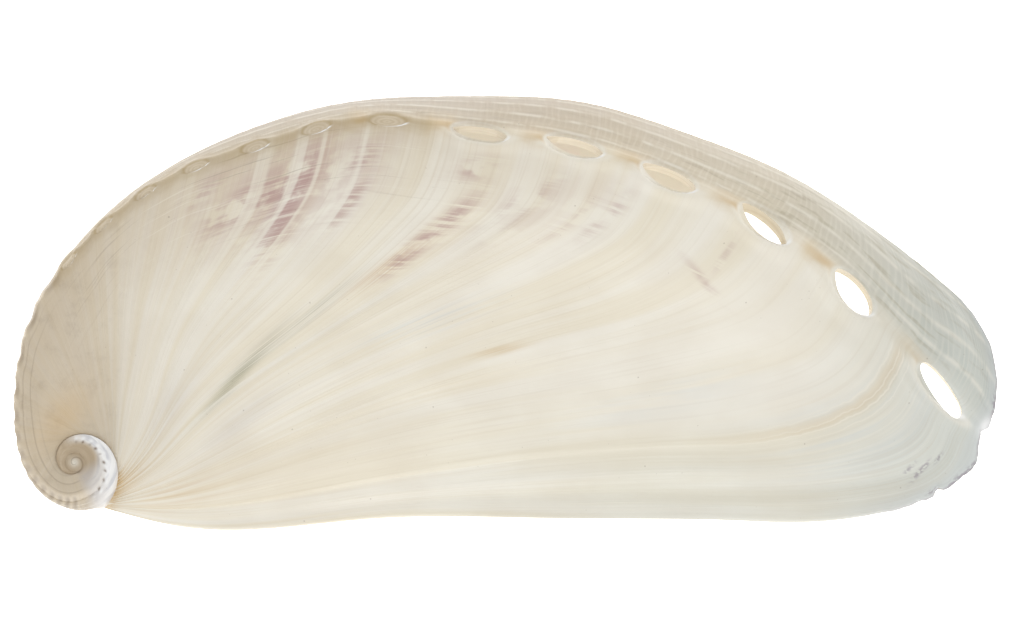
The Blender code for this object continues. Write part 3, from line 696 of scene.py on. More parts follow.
@dataclass(frozen=True)
class Relief:
    """Raised and sunken work of the outer side, made by one Geometry Nodes tree from the growth coordinates.

    Attributes:
        collar_height: rise round an open hole.
        knob_height: rise of an old sealed hole, which has a small pit in its middle.
        scar_height: rise of the rim round a younger sealed hole.
        cord_count: how many spiral cords the outer band carries.
        cord_height: rise of a cord.
        fold_height: rise of the broad folds along the lines of growth.
        ridge_height: rise of the fine growth ridges.
        pause_step: drop of the shell that grew after the last pause.
        pause_age: age of that pause.
        suture_groove: depth of the groove beside the suture.
        whorl_groove: depth of the fine spiral grooves on the oldest part.
    """

    collar_height: float = 0.34
    knob_height: float = 0.5
    scar_height: float = 0.16
    cord_count: float = 5.0
    cord_height: float = 0.07
    fold_height: float = 0.08
    ridge_height: float = 0.07
    pause_step: float = 0.22
    pause_age: float = 0.5
    suture_groove: float = 0.26
    whorl_groove: float = 0.045

    def inputs(self) -> dict[str, float]:
        """The tree's inputs by name, one for each size above."""
        return {name.replace("_", " ").title(): value for name, value in vars(self).items()}

    def tree(self, materials: list[Material]) -> bpy.types.GeometryNodeTree:
        """Builds the tree that raises the work and gives each side its material.

        Args:
            materials: one for each Side, in order.

        Returns:
            The Geometry Nodes tree.
        """
        tree = bpy.data.node_groups.new("shell_relief", "GeometryNodeTree")
        tree.interface.new_socket("Geometry", in_out="INPUT", socket_type="NodeSocketGeometry")
        for name, value in self.inputs().items():
            socket = tree.interface.new_socket(name, in_out="INPUT", socket_type="NodeSocketFloat")
            socket.default_value = value
        tree.interface.new_socket("Geometry", in_out="OUTPUT", socket_type="NodeSocketGeometry")
        sheet = NodeSheet(tree)
        group = sheet.node("NodeGroupInput")
        sizes = {name: Field(sheet, group.outputs[name]) for name in self.inputs()}
        height = self.height(sheet, sizes)
        away = sheet.node("GeometryNodeInputNamedAttribute", data_type="FLOAT_VECTOR")
        away.inputs["Name"].default_value = "away"
        offset = sheet.node("ShaderNodeVectorMath", operation="SCALE")
        sheet.put(away.outputs["Attribute"], offset.inputs[0])
        sheet.put(height * MM, offset.inputs["Scale"])
        moved = sheet.node("GeometryNodeSetPosition")
        sheet.put(group.outputs["Geometry"], moved.inputs["Geometry"])
        sheet.put(offset.outputs[0], moved.inputs["Offset"])
        settled = self.settled(sheet, moved.outputs["Geometry"])
        realized = sheet.node("GeometryNodeRealizeInstances")
        sheet.put(settled, realized.inputs["Geometry"])
        geometry = realized.outputs["Geometry"]
        side = self.attribute(sheet, "side")
        reach = {Side.OUTER: (0.5, 1.0), Side.LINING: (1.0, 0.2), Side.EDGE: (0.5, 0.3)}
        for choice, (middle, spread) in reach.items():
            dressed = sheet.node("GeometryNodeSetMaterial")
            sheet.put(geometry, dressed.inputs["Geometry"])
            sheet.put(sheet.math("COMPARE", side, middle, spread), dressed.inputs["Selection"])
            dressed.inputs["Material"].default_value = materials[choice.value]
            geometry = dressed.outputs["Geometry"]
        out = sheet.node("NodeGroupOutput")
        sheet.put(geometry, out.inputs["Geometry"])
        return tree

    @staticmethod
    def settled(sheet: NodeSheet, geometry: Socket) -> Socket:
        """Lifts to the table whatever the relief has pushed below it.

        Args:
            sheet: the tree's sheet.
            geometry: the raised shell.

        Returns:
            The lifted shell.
        """
        place = sheet.node("GeometryNodeInputPosition")
        parts = sheet.node("ShaderNodeSeparateXYZ")
        sheet.put(place.outputs[0], parts.inputs[0])
        lifted = sheet.math("MAXIMUM", Field(sheet, parts.outputs[2]), 0.0)
        moved = sheet.node("GeometryNodeSetPosition")
        sheet.put(geometry, moved.inputs["Geometry"])
        where = sheet.vector(Field(sheet, parts.outputs[0]), Field(sheet, parts.outputs[1]), lifted)
        sheet.put(where, moved.inputs["Position"])
        return moved.outputs["Geometry"]

    @staticmethod
    def attribute(sheet: NodeSheet, name: str) -> Field:
        """Reads one of the growth coordinates.

        Args:
            sheet: the tree's sheet.
            name: its name.

        Returns:
            Its value at each point.
        """
        node = sheet.node("GeometryNodeInputNamedAttribute", data_type="FLOAT")
        node.inputs["Name"].default_value = name
        return Field(sheet, node.outputs["Attribute"])

    def height(self, sheet: NodeSheet, sizes: dict[str, Field]) -> Field:
        """Height of all the raised work, in millimetres.

        Args:
            sheet: where the formula is written.
            sizes: the tree's named inputs.

        Returns:
            The height at each point, 0 on the lining.
        """
        age, across, down, length, spacing, crowding, ring, from_suture, turn, side = (
            self.attribute(sheet, name) for name in GrowthGrid.NAMES)
        number = sheet.math("ROUND", age)
        along = (age - number) * spacing
        collar = sizes["Collar Height"] * sheet.bell((ring - 1.0) / 0.42)
        collar = collar * (sheet.steps(across, -0.8, 0.8) * 0.75 + 0.25)
        edge = sheet.steps(ring, 0.9, 0.62) * (sheet.steps(across, -0.8, 0.8) * 0.35 + 0.1)
        knob_round = sheet.length(along, across) / (spacing * 0.3)
        rise = sheet.math("MINIMUM", sizes["Knob Height"], spacing * 0.13)
        knob = rise * (sheet.bell(knob_round) - 0.6 * sheet.bell(knob_round / 0.42))
        knob = knob * sheet.steps(age, 11.5, 13.5)
        scar_round = sheet.length(along / (spacing * 0.27), across / (spacing * 0.09))
        scar = sheet.bell((scar_round - 1.0) / 0.35) - 0.8 * sheet.steps(scar_round, 1.0, 0.6)
        knob = knob + sizes["Scar Height"] * scar * sheet.window(age, 5.5, 12.5, 0.1)
        cord = sheet.math("COSINE", down * sizes["Cord Count"] * FULL_TURN) * -0.5 + 0.5
        cord = cord * cord * cord
        cord = sizes["Cord Height"] * cord * sheet.steps(down, 0.02, 0.12) * sheet.steps(down, 1.0, 0.93)
        cord = cord * sheet.steps(age, 15.0, 11.0)
        from_row = sheet.steps(across, 0.5, 4.0)
        to_suture = sheet.steps(from_suture, 0.0, 7.0)
        room = sheet.steps(crowding, 0.0, 7.0)
        fold = sheet.math("COSINE", age * FULL_TURN) * sheet.steps(age, 14.0, 12.0)
        fold = sizes["Fold Height"] * fold * from_row * to_suture * room
        ridge = sheet.noise(age * 7.0, across * 0.02, 0.0, detail=3.0) - 0.5
        ridge = sizes["Ridge Height"] * 2.0 * ridge * sheet.steps(crowding, 0.5, 5.0)
        since = sizes["Pause Age"] - age
        step = sheet.steps(since, -0.03, 0.03) * sheet.steps(since, 1.1, 0.1)
        above = sheet.steps(length - across, 0.0, 12.0) * sheet.steps(across, -4.0, -0.5)
        pause = sizes["Pause Step"] * step * above
        near_seam = sheet.steps(turn, 0.0, 40.0) * sheet.steps(turn, 340.0, 200.0)
        groove = sizes["Suture Groove"] * near_seam * sheet.bell(from_suture / 0.55)
        first, second = WHORL_LINES
        lines = sheet.bell((across - first) / 0.13) + sheet.bell((across - second) / 0.13)
        groove = groove + sizes["Whorl Groove"] * lines * sheet.window(age, 13.5, 26.0, 1.5)
        total = collar + knob + cord + fold + ridge - edge - pause - groove
        return total * sheet.steps(side, 0.6, 0.4)

    def raise_on(self, shell: bpy.types.Object, materials: list[Material]) -> None:
        """Adds the tree to the shell, with every size set by its socket's identifier.

        Args:
            shell: the shell before its relief.
            materials: one for each Side, in order.
        """
        tree = self.tree(materials)
        modifier = shell.modifiers.new("relief", "NODES")
        modifier.node_group = tree
        sizes = self.inputs()
        for item in tree.interface.items_tree:
            if item.in_out == "INPUT" and item.name in sizes:
                modifier[item.identifier] = sizes[item.name]


@dataclass(frozen=True)
class GrowthGrid:
    """Points of one whorl's skin, as lines of growth by rows, with the growth coordinates of each."""

    NAMES = ("age", "across", "down", "length", "spacing", "crowding", "ring", "from_suture", "turn", "side")

    points: Array
    away: Array
    values: dict[str, Array]


class Skin:
    """Collects the points, faces and growth coordinates of the whole shell."""

    def __init__(self) -> None:
        """Starts empty."""
        self.points: list[Array] = []
        self.away: list[Array] = []
        self.values: dict[str, list[Array]] = {name: [] for name in GrowthGrid.NAMES}
        self.faces: list[tuple[int, ...]] = []
        self.count = 0

    def add(self, grid: GrowthGrid) -> Array:
        """Adds a grid's points.

        Args:
            grid: points with their coordinates.

        Returns:
            The point numbers, in the grid's own shape.
        """
        self.points.append(grid.points.reshape(-1, 3))
        self.away.append(grid.away.reshape(-1, 3))
        for name, parts in self.values.items():
            parts.append(np.broadcast_to(grid.values[name], grid.points.shape[:-1]).reshape(-1))
        size = grid.points[..., 0].size
        places = np.arange(self.count, self.count + size).reshape(grid.points.shape[:-1])
        self.count += size
        return places

    def join(self, places: Array) -> None:
        """Adds the faces between neighbouring points of a grid.

        Args:
            places: the grid's point numbers.
        """
        a, b = places[:-1, :-1], places[:-1, 1:]
        c, d = places[1:, 1:], places[1:, :-1]
        quads = np.stack([a, b, c, d], axis=-1).reshape(-1, 4)
        self.faces.extend(map(tuple, quads.tolist()))

    def turn_over(self, first_face: int) -> None:
        """Reverses every face from a number on."""
        self.faces[first_face:] = [face[::-1] for face in self.faces[first_face:]]

    def close(self, outer: Edge, inner: Edge) -> None:
        """Closes the rim between two edges, each a list of (address, point number) from start to end.

        Args:
            outer: free edge of the outer side.
            inner: free edge of the lining.
        """
        i = 0
        j = 0
        while i < len(outer) - 1 or j < len(inner) - 1:
            forward = j == len(inner) - 1 or (i < len(outer) - 1 and outer[i + 1][0] <= inner[j + 1][0])
            if forward:
                self.faces.append((int(outer[i][1]), int(inner[j][1]), int(outer[i + 1][1])))
                i += 1
            else:
                self.faces.append((int(outer[i][1]), int(inner[j][1]), int(inner[j + 1][1])))
                j += 1

    def mesh(self, name: str) -> bpy.types.Mesh:
        """Welded mesh with growth coordinates, as attributes for the relief and as UV maps for the finish.

        Args:
            name: the mesh's name.

        Returns:
            The mesh.
        """
        mesh = bpy.data.meshes.new(name)
        points = np.concatenate(self.points) * MM
        mesh.from_pydata(points.tolist(), [], self.faces)
        columns = {key: np.concatenate(parts) for key, parts in self.values.items()}
        for key, column in columns.items():
            mesh.attributes.new(key, "FLOAT", "POINT").data.foreach_set("value", column.astype(np.float32))
        away = np.concatenate(self.away).astype(np.float32)
        mesh.attributes.new("away", "FLOAT_VECTOR", "POINT").data.foreach_set("vector", away.ravel())
        corners = np.empty(len(mesh.loops), dtype=np.int32)
        mesh.loops.foreach_get("vertex_index", corners)
        for layer, pair in ShellFinish.MAPS.items():
            both = np.column_stack([columns[key][corners] for key in pair]).astype(np.float32)
            mesh.uv_layers.new(name=layer).uv.foreach_set("vector", both.ravel())
        work = bmesh.new()
        work.from_mesh(mesh)
        bmesh.ops.remove_doubles(work, verts=work.verts[:], dist=WELD)
        bmesh.ops.dissolve_degenerate(work, dist=SLIVER, edges=work.edges[:])
        bmesh.ops.recalc_face_normals(work, faces=work.faces[:])
        for face in work.faces:
            face.smooth = True
        work.to_mesh(mesh)
        work.free()
        return mesh


def paint(red: int, green: int, blue: int) -> Colour:
    """Linear colour from the red, green and blue that a screen shows, each up to 255.

    Args:
        red, green, blue: the colour on screen.

    Returns:
        The linear colour, with an alpha of 1.
    """
    linear = []
    for part in (red, green, blue):
        share = part / 255
        linear.append(share / 12.92 if share <= 0.04045 else ((share + 0.055) / 1.055) ** 2.4)
    return (*linear, 1.0)


@dataclass(frozen=True)
class ShellFinish:
    """What every finish of the shell shares: its sheen and the growth coordinates that it reads.

    Attributes:
        roughness: of the polished surface.
        coat, coat_roughness: weight and roughness of the thin glossy skin.
        specular: strength of the plain reflection.
    """

    MAPS = {"growth": ("age", "across"), "place": ("down", "from_suture"), "winding": ("turn", "ring")}

    roughness: float = 0.42
    coat: float = 0.06
    coat_roughness: float = 0.25
    specular: float = 0.35

    def start(self, name: str) -> tuple[Material, NodeSheet, bpy.types.Node]:
        """A new material with its shader's plain values set.

        Args:
            name: the material's name.

        Returns:
            The material, a sheet for its formulas, and its shader.
        """
        material = bpy.data.materials.new(name)
        material.use_nodes = True
        shader = material.node_tree.nodes["Principled BSDF"]
        for socket, value in (("Roughness", self.roughness), ("Coat Weight", self.coat),
                              ("Coat Roughness", self.coat_roughness), ("Specular IOR Level", self.specular)):
            shader.inputs[socket].default_value = value
        return material, NodeSheet(material.node_tree), shader

    @staticmethod
    def coordinates(sheet: NodeSheet, layer: str) -> tuple[Field, Field]:
        """The two growth coordinates kept in one UV map.

        Args:
            sheet: the material's sheet.
            layer: the map's name.

        Returns:
            Both coordinates.
        """
        source = sheet.node("ShaderNodeUVMap", uv_map=layer)
        parts = sheet.node("ShaderNodeSeparateXYZ")
        sheet.put(source.outputs[0], parts.inputs[0])
        return Field(sheet, parts.outputs[0]), Field(sheet, parts.outputs[1])

    @staticmethod
    def place(sheet: NodeSheet) -> tuple[Field, Field, Field]:
        """Place on the shell in millimetres.

        Args:
            sheet: the material's sheet.

        Returns:
            X, Y and Z.
        """
        source = sheet.node("ShaderNodeTexCoord")
        parts = sheet.node("ShaderNodeSeparateXYZ")
        sheet.put(source.outputs["Object"], parts.inputs[0])
        return tuple(Field(sheet, output) * (1 / MM) for output in parts.outputs)

    @staticmethod
    def roughen(sheet: NodeSheet, shader: bpy.types.Node, height: Field, depth: float) -> None:
        """Bump of a height from 0 to 1, with its depth in millimetres.

        Args:
            sheet: the material's sheet.
            shader: what gets the bump.
            height: from 0 to 1.
            depth: in millimetres.
        """
        bump = sheet.node("ShaderNodeBump")
        bump.inputs["Strength"].default_value = 1.0
        bump.inputs["Distance"].default_value = depth * MM
        sheet.put(height, bump.inputs["Height"])
        sheet.put(bump.outputs[0], shader.inputs["Normal"])


@dataclass(frozen=True)
class Patch:
    """A soft elliptical patch of colour at a place on the shell.

    Attributes:
        x, y: its middle.
        long, wide: its reach along and across.
        turn: angle of its long axis in degrees.
        weight: its share in the middle.
    """

    x: float
    y: float
    long: float
    wide: float
    turn: float
    weight: float = 1.0

    def mask(self, sheet: NodeSheet, x: Field, y: Field) -> Field:
        """Its weight at the middle of the patch, fading outwards.

        Args:
            sheet: the material's sheet.
            x, y: place in millimetres.

        Returns:
            The patch's share at each point.
        """
        angle = math.radians(self.turn)
        east = x - self.x
        north = y - self.y
        along = (east * math.cos(angle) + north * math.sin(angle)) / self.long
        across = (north * math.cos(angle) - east * math.sin(angle)) / self.wide
        return sheet.math("EXPONENT", (along * along + across * across) * -1.0) * self.weight


class Growth:
    """Growth coordinates in a finish, and the soft patterns made from them."""

    def __init__(self, sheet: NodeSheet, x: Field, y: Field, age: Field, across: Field, down: Field,
                 from_suture: Field, turn: Field, ring: Field) -> None:
        """Works out the patterns that several parts of the finish share.

        Args:
            sheet: the material's sheet.
            x, y: place in millimetres.
            age: holes back from the lip.
            across: from the row of holes, in millimetres.
            down: share of the outer band's width.
            from_suture: in millimetres.
            turn: of the suture, in degrees.
            ring: distance from the nearest open hole.
        """
        self.sheet = sheet
        self.x = x
        self.y = y
        self.age = age
        self.across = across
        self.down = down
        self.from_suture = from_suture
        self.turn = turn
        self.ring = ring
        self.part = age - sheet.math("ROUND", age)
        self.on_band = sheet.steps(down, 0.02, 0.3)
        self.on_spire = sheet.steps(turn, 359.0, 361.0)
        self.young = sheet.steps(age, 11.0, 5.0)
        self.older = sheet.steps(age, 3.0, 6.0)
        self.streak = sheet.noise(age * 8.0, across * 0.035, 5.0, detail=3.0, roughness=0.6)
        self.hair = sheet.noise(age * 34.0, across * 0.06, 9.0)
        self.sabre = sheet.steps(sheet.noise(age * 3.4, across * 0.02, 13.0, detail=1.5), 0.5, 0.6)
        self.spiral = sheet.noise(age * 0.3, across * 2.6, 17.0, detail=3.0, roughness=0.6)

    def together(self, patches: tuple[Patch, ...]) -> Field:
        """Sum of several patches, no more than 1.

        Args:
            patches: what is added up.

        Returns:
            Their share at each point.
        """
        total = patches[0].mask(self.sheet, self.x, self.y)
        for patch in patches[1:]:
            total = total + patch.mask(self.sheet, self.x, self.y)
        return self.sheet.math("MINIMUM", total, 1.0)


class Coat:
    """Colour of a finish, laid on in layers."""

    def __init__(self, sheet: NodeSheet, colour: Colour) -> None:
        """Starts with one plain colour."""
        self.sheet = sheet
        self.colour: Colour | Socket = colour

    def over(self, share: Number, colour: Colour | Socket) -> None:
        """Lays another colour over a share of what is there."""
        self.colour = self.sheet.mix(share, self.colour, colour)


@dataclass(frozen=True)
class OuterFinish(ShellFinish):
    """Bleached outer side: ivory and ochre streaks of growth, rose blotches, a taupe rim and a pearly spire.

    Numbers in its formulas are ages in holes, millimetres, degrees of the suture's turn, or shares from 0 to 1.
    """

    ivory: Colour = paint(239, 231, 211)
    pale: Colour = paint(243, 238, 225)
    ochre: Colour = paint(220, 204, 172)
    taupe: Colour = paint(192, 173, 145)
    rim: Colour = paint(182, 168, 144)
    sand: Colour = paint(212, 197, 172)
    drab: Colour = paint(208, 202, 184)
    cool: Colour = paint(202, 208, 203)
    slate: Colour = paint(180, 188, 180)
    frost: Colour = paint(222, 226, 227)
    steel: Colour = paint(204, 210, 212)
    rose: Colour = paint(180, 142, 138)
    moss: Colour = paint(170, 168, 142)
    rust: Colour = paint(198, 156, 108)
    gold: Colour = paint(206, 170, 108)
    amber: Colour = paint(208, 178, 126)
    mauve: Colour = paint(146, 134, 146)
    pearl: Colour = paint(253, 253, 252)
    silver: Colour = paint(208, 210, 216)
    umber: Colour = paint(120, 98, 74)
    bronze: Colour = paint(176, 154, 112)
    rose_patches: tuple[Patch, ...] = (
        Patch(-20.0, 13.6, 3.4, 1.3, 58.0), Patch(-14.2, 15.4, 1.8, 0.9, 35.0), Patch(-24.0, 11.6, 3.2, 1.4, 40.0),
        Patch(-22.5, 8.5, 3.6, 1.2, 60.0), Patch(-27.5, 10.0, 3.0, 0.9, 45.0), Patch(-15.5, 11.0, 3.0, 0.7, 50.0),
        Patch(-3.0, 14.2, 2.0, 1.0, 15.0), Patch(-5.4, 9.2, 3.4, 0.9, 42.0), Patch(-9.5, 6.0, 3.4, 0.7, 42.0),
    )
    pink_patches: tuple[Patch, ...] = (
        Patch(1.5, 10.5, 3.4, 0.8, 35.0), Patch(6.0, 9.0, 3.4, 0.7, 35.0), Patch(10.0, 9.5, 2.8, 0.7, 40.0),
        Patch(21.8, 5.6, 1.8, 0.35, 55.0), Patch(19.6, 3.2, 2.4, 0.4, -50.0), Patch(-30.0, 12.0, 2.6, 0.8, 40.0),
    )
    rose_haze: tuple[Patch, ...] = (Patch(-21.0, 12.6, 9.0, 4.0, 25.0), Patch(4.0, 10.5, 8.0, 3.0, 20.0, 0.45))
    sand_patches: tuple[Patch, ...] = (Patch(-30.6, 8.7, 8.0, 4.0, 45.0), Patch(-22.6, -15.8, 14.0, 3.5, 5.0, 0.8))
    moss_streak: Patch = Patch(-26.5, -6.2, 5.0, 0.55, 47.0)
    moss_tail: Patch = Patch(-19.5, -0.4, 6.0, 0.5, 40.0)
    brown_tail: Patch = Patch(-11.5, 4.6, 4.5, 0.8, 33.0)
    amber_patches: tuple[Patch, ...] = (
        Patch(-38.4, -17.2, 2.6, 1.1, 42.0), Patch(-32.5, -18.2, 5.0, 1.2, 12.0, 0.6),
        Patch(-0.5, -3.8, 2.6, 0.4, 12.0, 0.7),
    )
    frost_patches: tuple[Patch, ...] = (
        Patch(-7.0, -0.8, 6.0, 1.0, 18.0), Patch(16.0, -8.5, 9.0, 1.8, 14.0, 0.6),
        Patch(36.0, -12.0, 9.0, 5.0, 10.0),
    )
    lilac_patches: tuple[Patch, ...] = (
        Patch(-33.0, -9.0, 4.5, 1.6, 62.0), Patch(-26.5, -11.0, 5.0, 1.3, 40.0), Patch(41.6, -17.2, 2.0, 1.1, 44.0),
    )
    mauve_patches: tuple[Patch, ...] = (
        Patch(44.8, -17.0, 1.6, 0.3, 44.0), Patch(41.1, -16.2, 1.1, 0.22, 52.0), Patch(41.9, -15.4, 0.8, 0.2, 52.0),
        Patch(40.3, -15.6, 0.8, 0.2, 48.0), Patch(42.6, -17.9, 0.7, 0.2, 35.0), Patch(48.8, -9.6, 0.25, 1.3, 0.0),
        Patch(46.4, -15.6, 0.9, 0.18, 50.0), Patch(43.2, -14.6, 0.6, 0.2, 55.0),
    )

    def material(self) -> Material:
        """Builds the material.

        Returns:
            The material.
        """
        material, sheet, shader = self.start("bleached_outer_shell")
        x, y, _ = self.place(sheet)
        growth = Growth(sheet, x, y, *self.coordinates(sheet, "growth"), *self.coordinates(sheet, "place"),
                        *self.coordinates(sheet, "winding"))
        coat = self.ground(growth)
        for layer in (self.blotches, self.band, self.holes, self.oldest, self.spire, self.lip):
            layer(coat, growth)
        speck = sheet.steps(sheet.noise(x * 2.7, y * 2.7, 51.0, detail=0.0), 0.85, 0.9)
        coat.over(speck * 0.3, self.umber)
        sheet.put(coat.colour, shader.inputs["Base Color"])
        coils = growth.spiral * growth.older * sheet.steps(growth.age, 14.0, 9.0)
        self.roughen(sheet, shader, growth.hair * 0.4 + growth.streak * 0.6 + coils * 0.4, 0.07)
        sheet.put(growth.streak * 0.12 - growth.on_spire * 0.1 + (self.roughness - 0.06), shader.inputs["Roughness"])
        return material

    def ground(self, growth: Growth) -> Coat:
        """Ivory ground with the streaks of growth, taupe on the oldest part, and painted shade in cool grey over the
        lower slope and the right end.

        Args:
            growth: growth coordinates.

        Returns:
            The ground's coat.
        """
        sheet, x, y = growth.sheet, growth.x, growth.y
        broad = sheet.noise(growth.age * 2.6, growth.across * 0.025, 1.0)
        young = (growth.young * 0.8 + 0.2) * (sheet.steps(growth.age, 0.0, 3.5) * 0.6 + 0.4)
        coat = Coat(sheet, self.ivory)
        coat.over(sheet.steps(broad, 0.35, 0.65), self.pale)
        warm = (sheet.steps(y, -2.0, -16.0) * 0.2 + 0.06) * sheet.steps(x, 40.0, 12.0)
        fan = sheet.bell(sheet.length(x + 39.0, y + 18.5) / 7.0)
        coat.over(sheet.steps(growth.streak, 0.46, 0.7) * (warm + fan * 0.45) * young, self.ochre)
        coat.over(sheet.steps(growth.streak, 0.46, 0.28) * (fan * 0.5 + 0.32) * young, self.pale)
        old = sheet.steps(growth.age, 7.6, 13.0)
        coat.over(old * 0.62, self.taupe)
        near_row = sheet.steps(growth.across, 10.0, 0.5) * sheet.steps(growth.age, 3.0, 7.5) * (1.0 - old * 0.5)
        coat.over(near_row * 0.34, self.taupe)
        beside = sheet.bell(growth.across / 2.6) * sheet.steps(growth.age, 4.4, 6.2) * (1.0 - old)
        coat.over(beside * 0.26, self.bronze)
        coat.over(growth.sabre * growth.older * growth.young * 0.6, self.pale)
        rayed = sheet.steps(growth.streak, 0.35, 0.6)
        amber = growth.together(self.amber_patches) * rayed
        coat.over(amber * 0.7, self.gold)
        frost = growth.together(self.frost_patches) * (1.0 - rayed)
        coat.over(frost * 0.6, self.frost)
        coat.over(growth.together(self.sand_patches) * 0.32, self.sand)
        lilac = growth.together(self.lilac_patches)
        coat.over(lilac * 0.14, self.mauve)
        moss = self.moss_streak.mask(sheet, x, y) * 0.85 + self.moss_tail.mask(sheet, x, y) * 0.4
        coat.over(moss * sheet.steps(growth.hair, 0.25, 0.6), self.moss)
        brown = self.brown_tail.mask(sheet, x, y) * sheet.steps(growth.hair, 0.3, 0.6)
        coat.over(brown * 0.4, self.rust)
        # Painted shade: cool grey darkens the lower slope and, more strongly, the right end towards the lip.
        low = sheet.steps(y, -6.0, -18.0)
        coat.over(low * sheet.steps(x, -24.0, 26.0) * 0.36, self.cool)
        coat.over(sheet.steps(x, 26.0, 47.0) * 0.7, self.cool)
        hair = young * sheet.steps(x, 24.0, -6.0) * 0.4 + sheet.steps(x, 24.0, 40.0) * 0.35 + 0.25
        coat.over(sheet.steps(growth.hair, 0.5, 0.7) * hair * 0.22, self.taupe)
        coat.over(sheet.steps(growth.hair, 0.5, 0.3) * hair * 0.36, self.pale)
        torn = growth.age + (sheet.noise(growth.age * 3.0, growth.across * 0.7, 97.0, detail=3.0) - 0.5) * 0.05
        pause = sheet.bell((torn - 0.49) / 0.007) + sheet.bell((torn - 0.535) / 0.005) * 0.8
        pause = pause + sheet.bell((torn - 0.6) / 0.006) * 0.6 + sheet.bell((torn - 0.43) / 0.005) * 0.6
        reach = sheet.window(growth.across, 0.6, 24.0, 0.6) * sheet.steps(growth.across, 30.0, 4.0)
        coat.over(sheet.window(torn, 0.5, 0.58, 0.03) * reach * 0.26, self.amber)
        coat.over(pause * reach * 0.65, self.pale)
        cloud = sheet.noise(x * 0.12, y * 0.16, 2.0, detail=3.0)
        coat.over(sheet.steps(cloud, 0.35, 0.65) * 0.1, self.taupe)
        return coat

    def blotches(self, coat: Coat, growth: Growth) -> None:
        """Wine-coloured blotches between the pale growth streaks, and fine broken spiral lines.

        Args:
            coat: the colour so far.
            growth: growth coordinates.
        """
        sheet = growth.sheet
        torn = sheet.noise(growth.age * 2.4, growth.across * 0.4, 23.0, detail=3.0)
        thread = sheet.noise(growth.age * 0.7, growth.across * 1.9, 21.0, detail=3.0, roughness=0.65)
        inside = (1.0 - growth.on_band) * (1.0 - growth.sabre * 0.75)
        haze = growth.together(self.rose_haze) * inside * sheet.steps(torn, 0.36, 0.56)
        coat.over(haze * 0.42, self.rose)
        rose = growth.together(self.rose_patches) * inside
        broken = sheet.steps(torn, 0.34, 0.52) * sheet.steps(thread, 0.38, 0.54)
        coat.over(rose * broken * 0.72, self.rose)
        pink = growth.together(self.pink_patches) * inside
        coat.over(pink * broken * 0.45, self.rose)
        near = sheet.steps(growth.across, 13.0, 5.0) * growth.older * (1.0 - growth.on_band)
        near = near * sheet.steps(growth.age, 14.0, 9.0) * sheet.steps(growth.age, 4.6, 6.4)
        coat.over(sheet.steps(growth.spiral, 0.6, 0.68) * near * 0.3, self.umber)
        coat.over(sheet.steps(growth.spiral, 0.4, 0.33) * near * 0.3, self.pale)

    def band(self, coat: Coat, growth: Growth) -> None:
        """Taupe outer band with thin pale cords and riblets, cool and mossy towards the lip, with painted shade in
        umber towards the margin and along its older part.

        Args:
            coat: the colour so far.
            growth: growth coordinates.
        """
        sheet, x = growth.sheet, growth.x
        lean = growth.down + sheet.noise(growth.age * 0.7, growth.down * 1.5, 61.0) * 0.06
        cord = sheet.math("POWER", sheet.math("COSINE", lean * (5.0 * FULL_TURN)) * -0.5 + 0.5, 8.0)
        grain = sheet.noise(growth.age * 5.0, growth.down * 5.0, 41.0)
        beat = growth.age * 15.0 + sheet.noise(growth.age * 2.0, growth.down * 1.6, 31.0) * 3.0
        riblet = sheet.math("COSINE", beat * FULL_TURN) * sheet.steps(grain, 0.3, 0.6)
        dash = sheet.noise(growth.age * 3.0, growth.down * 16.0, 71.0)
        end = sheet.steps(x, 24.0, 46.0)
        aged = sheet.steps(growth.age, 9.0, 13.0)
        band = sheet.mix(sheet.steps(grain, 0.42, 0.7) * 0.4, self.rim, self.taupe)
        band = sheet.mix(aged * 0.4, band, self.sand)
        band = sheet.mix(sheet.steps(x, 2.0, 26.0) * 0.75, band, self.drab)
        band = sheet.mix(end * 0.8, band, self.cool)
        band = sheet.mix(end * sheet.steps(grain, 0.4, 0.62) * 0.3, band, self.slate)
        band = sheet.mix(sheet.window(x, 20.0, 44.0, 5.0) * sheet.steps(dash, 0.52, 0.62) * 0.4, band, self.moss)
        band = sheet.mix(sheet.steps(dash, 0.57, 0.68) * (0.28 - end * 0.16), band, self.umber)
        # Painted shade: umber darkens the band towards the margin and, from age 4.5 to 13, all across it.
        outer = sheet.steps(growth.down, 0.25, 0.95)
        band = sheet.mix(outer * (0.6 - sheet.steps(x, 2.0, 40.0) * 0.4), band, self.umber)
        band = sheet.mix(sheet.window(growth.age, 4.5, 13.0, 1.5) * 0.2, band, self.umber)
        band = sheet.mix(sheet.window(growth.age, 1.2, 5.0, 1.5) * 0.3, band, self.bronze)
        band = sheet.mix(cord * sheet.steps(grain, 0.8, 0.4) * (0.5 - outer * 0.15), band, self.pale)
        ribs = sheet.math("MAXIMUM", riblet, 0.0) * (1.0 - outer * 0.6) * sheet.steps(growth.age, 9.0, 2.0)
        band = sheet.mix(ribs * (end * 0.06 + 0.14), band, self.pale)
        coat.over(growth.on_band * 0.92, band)

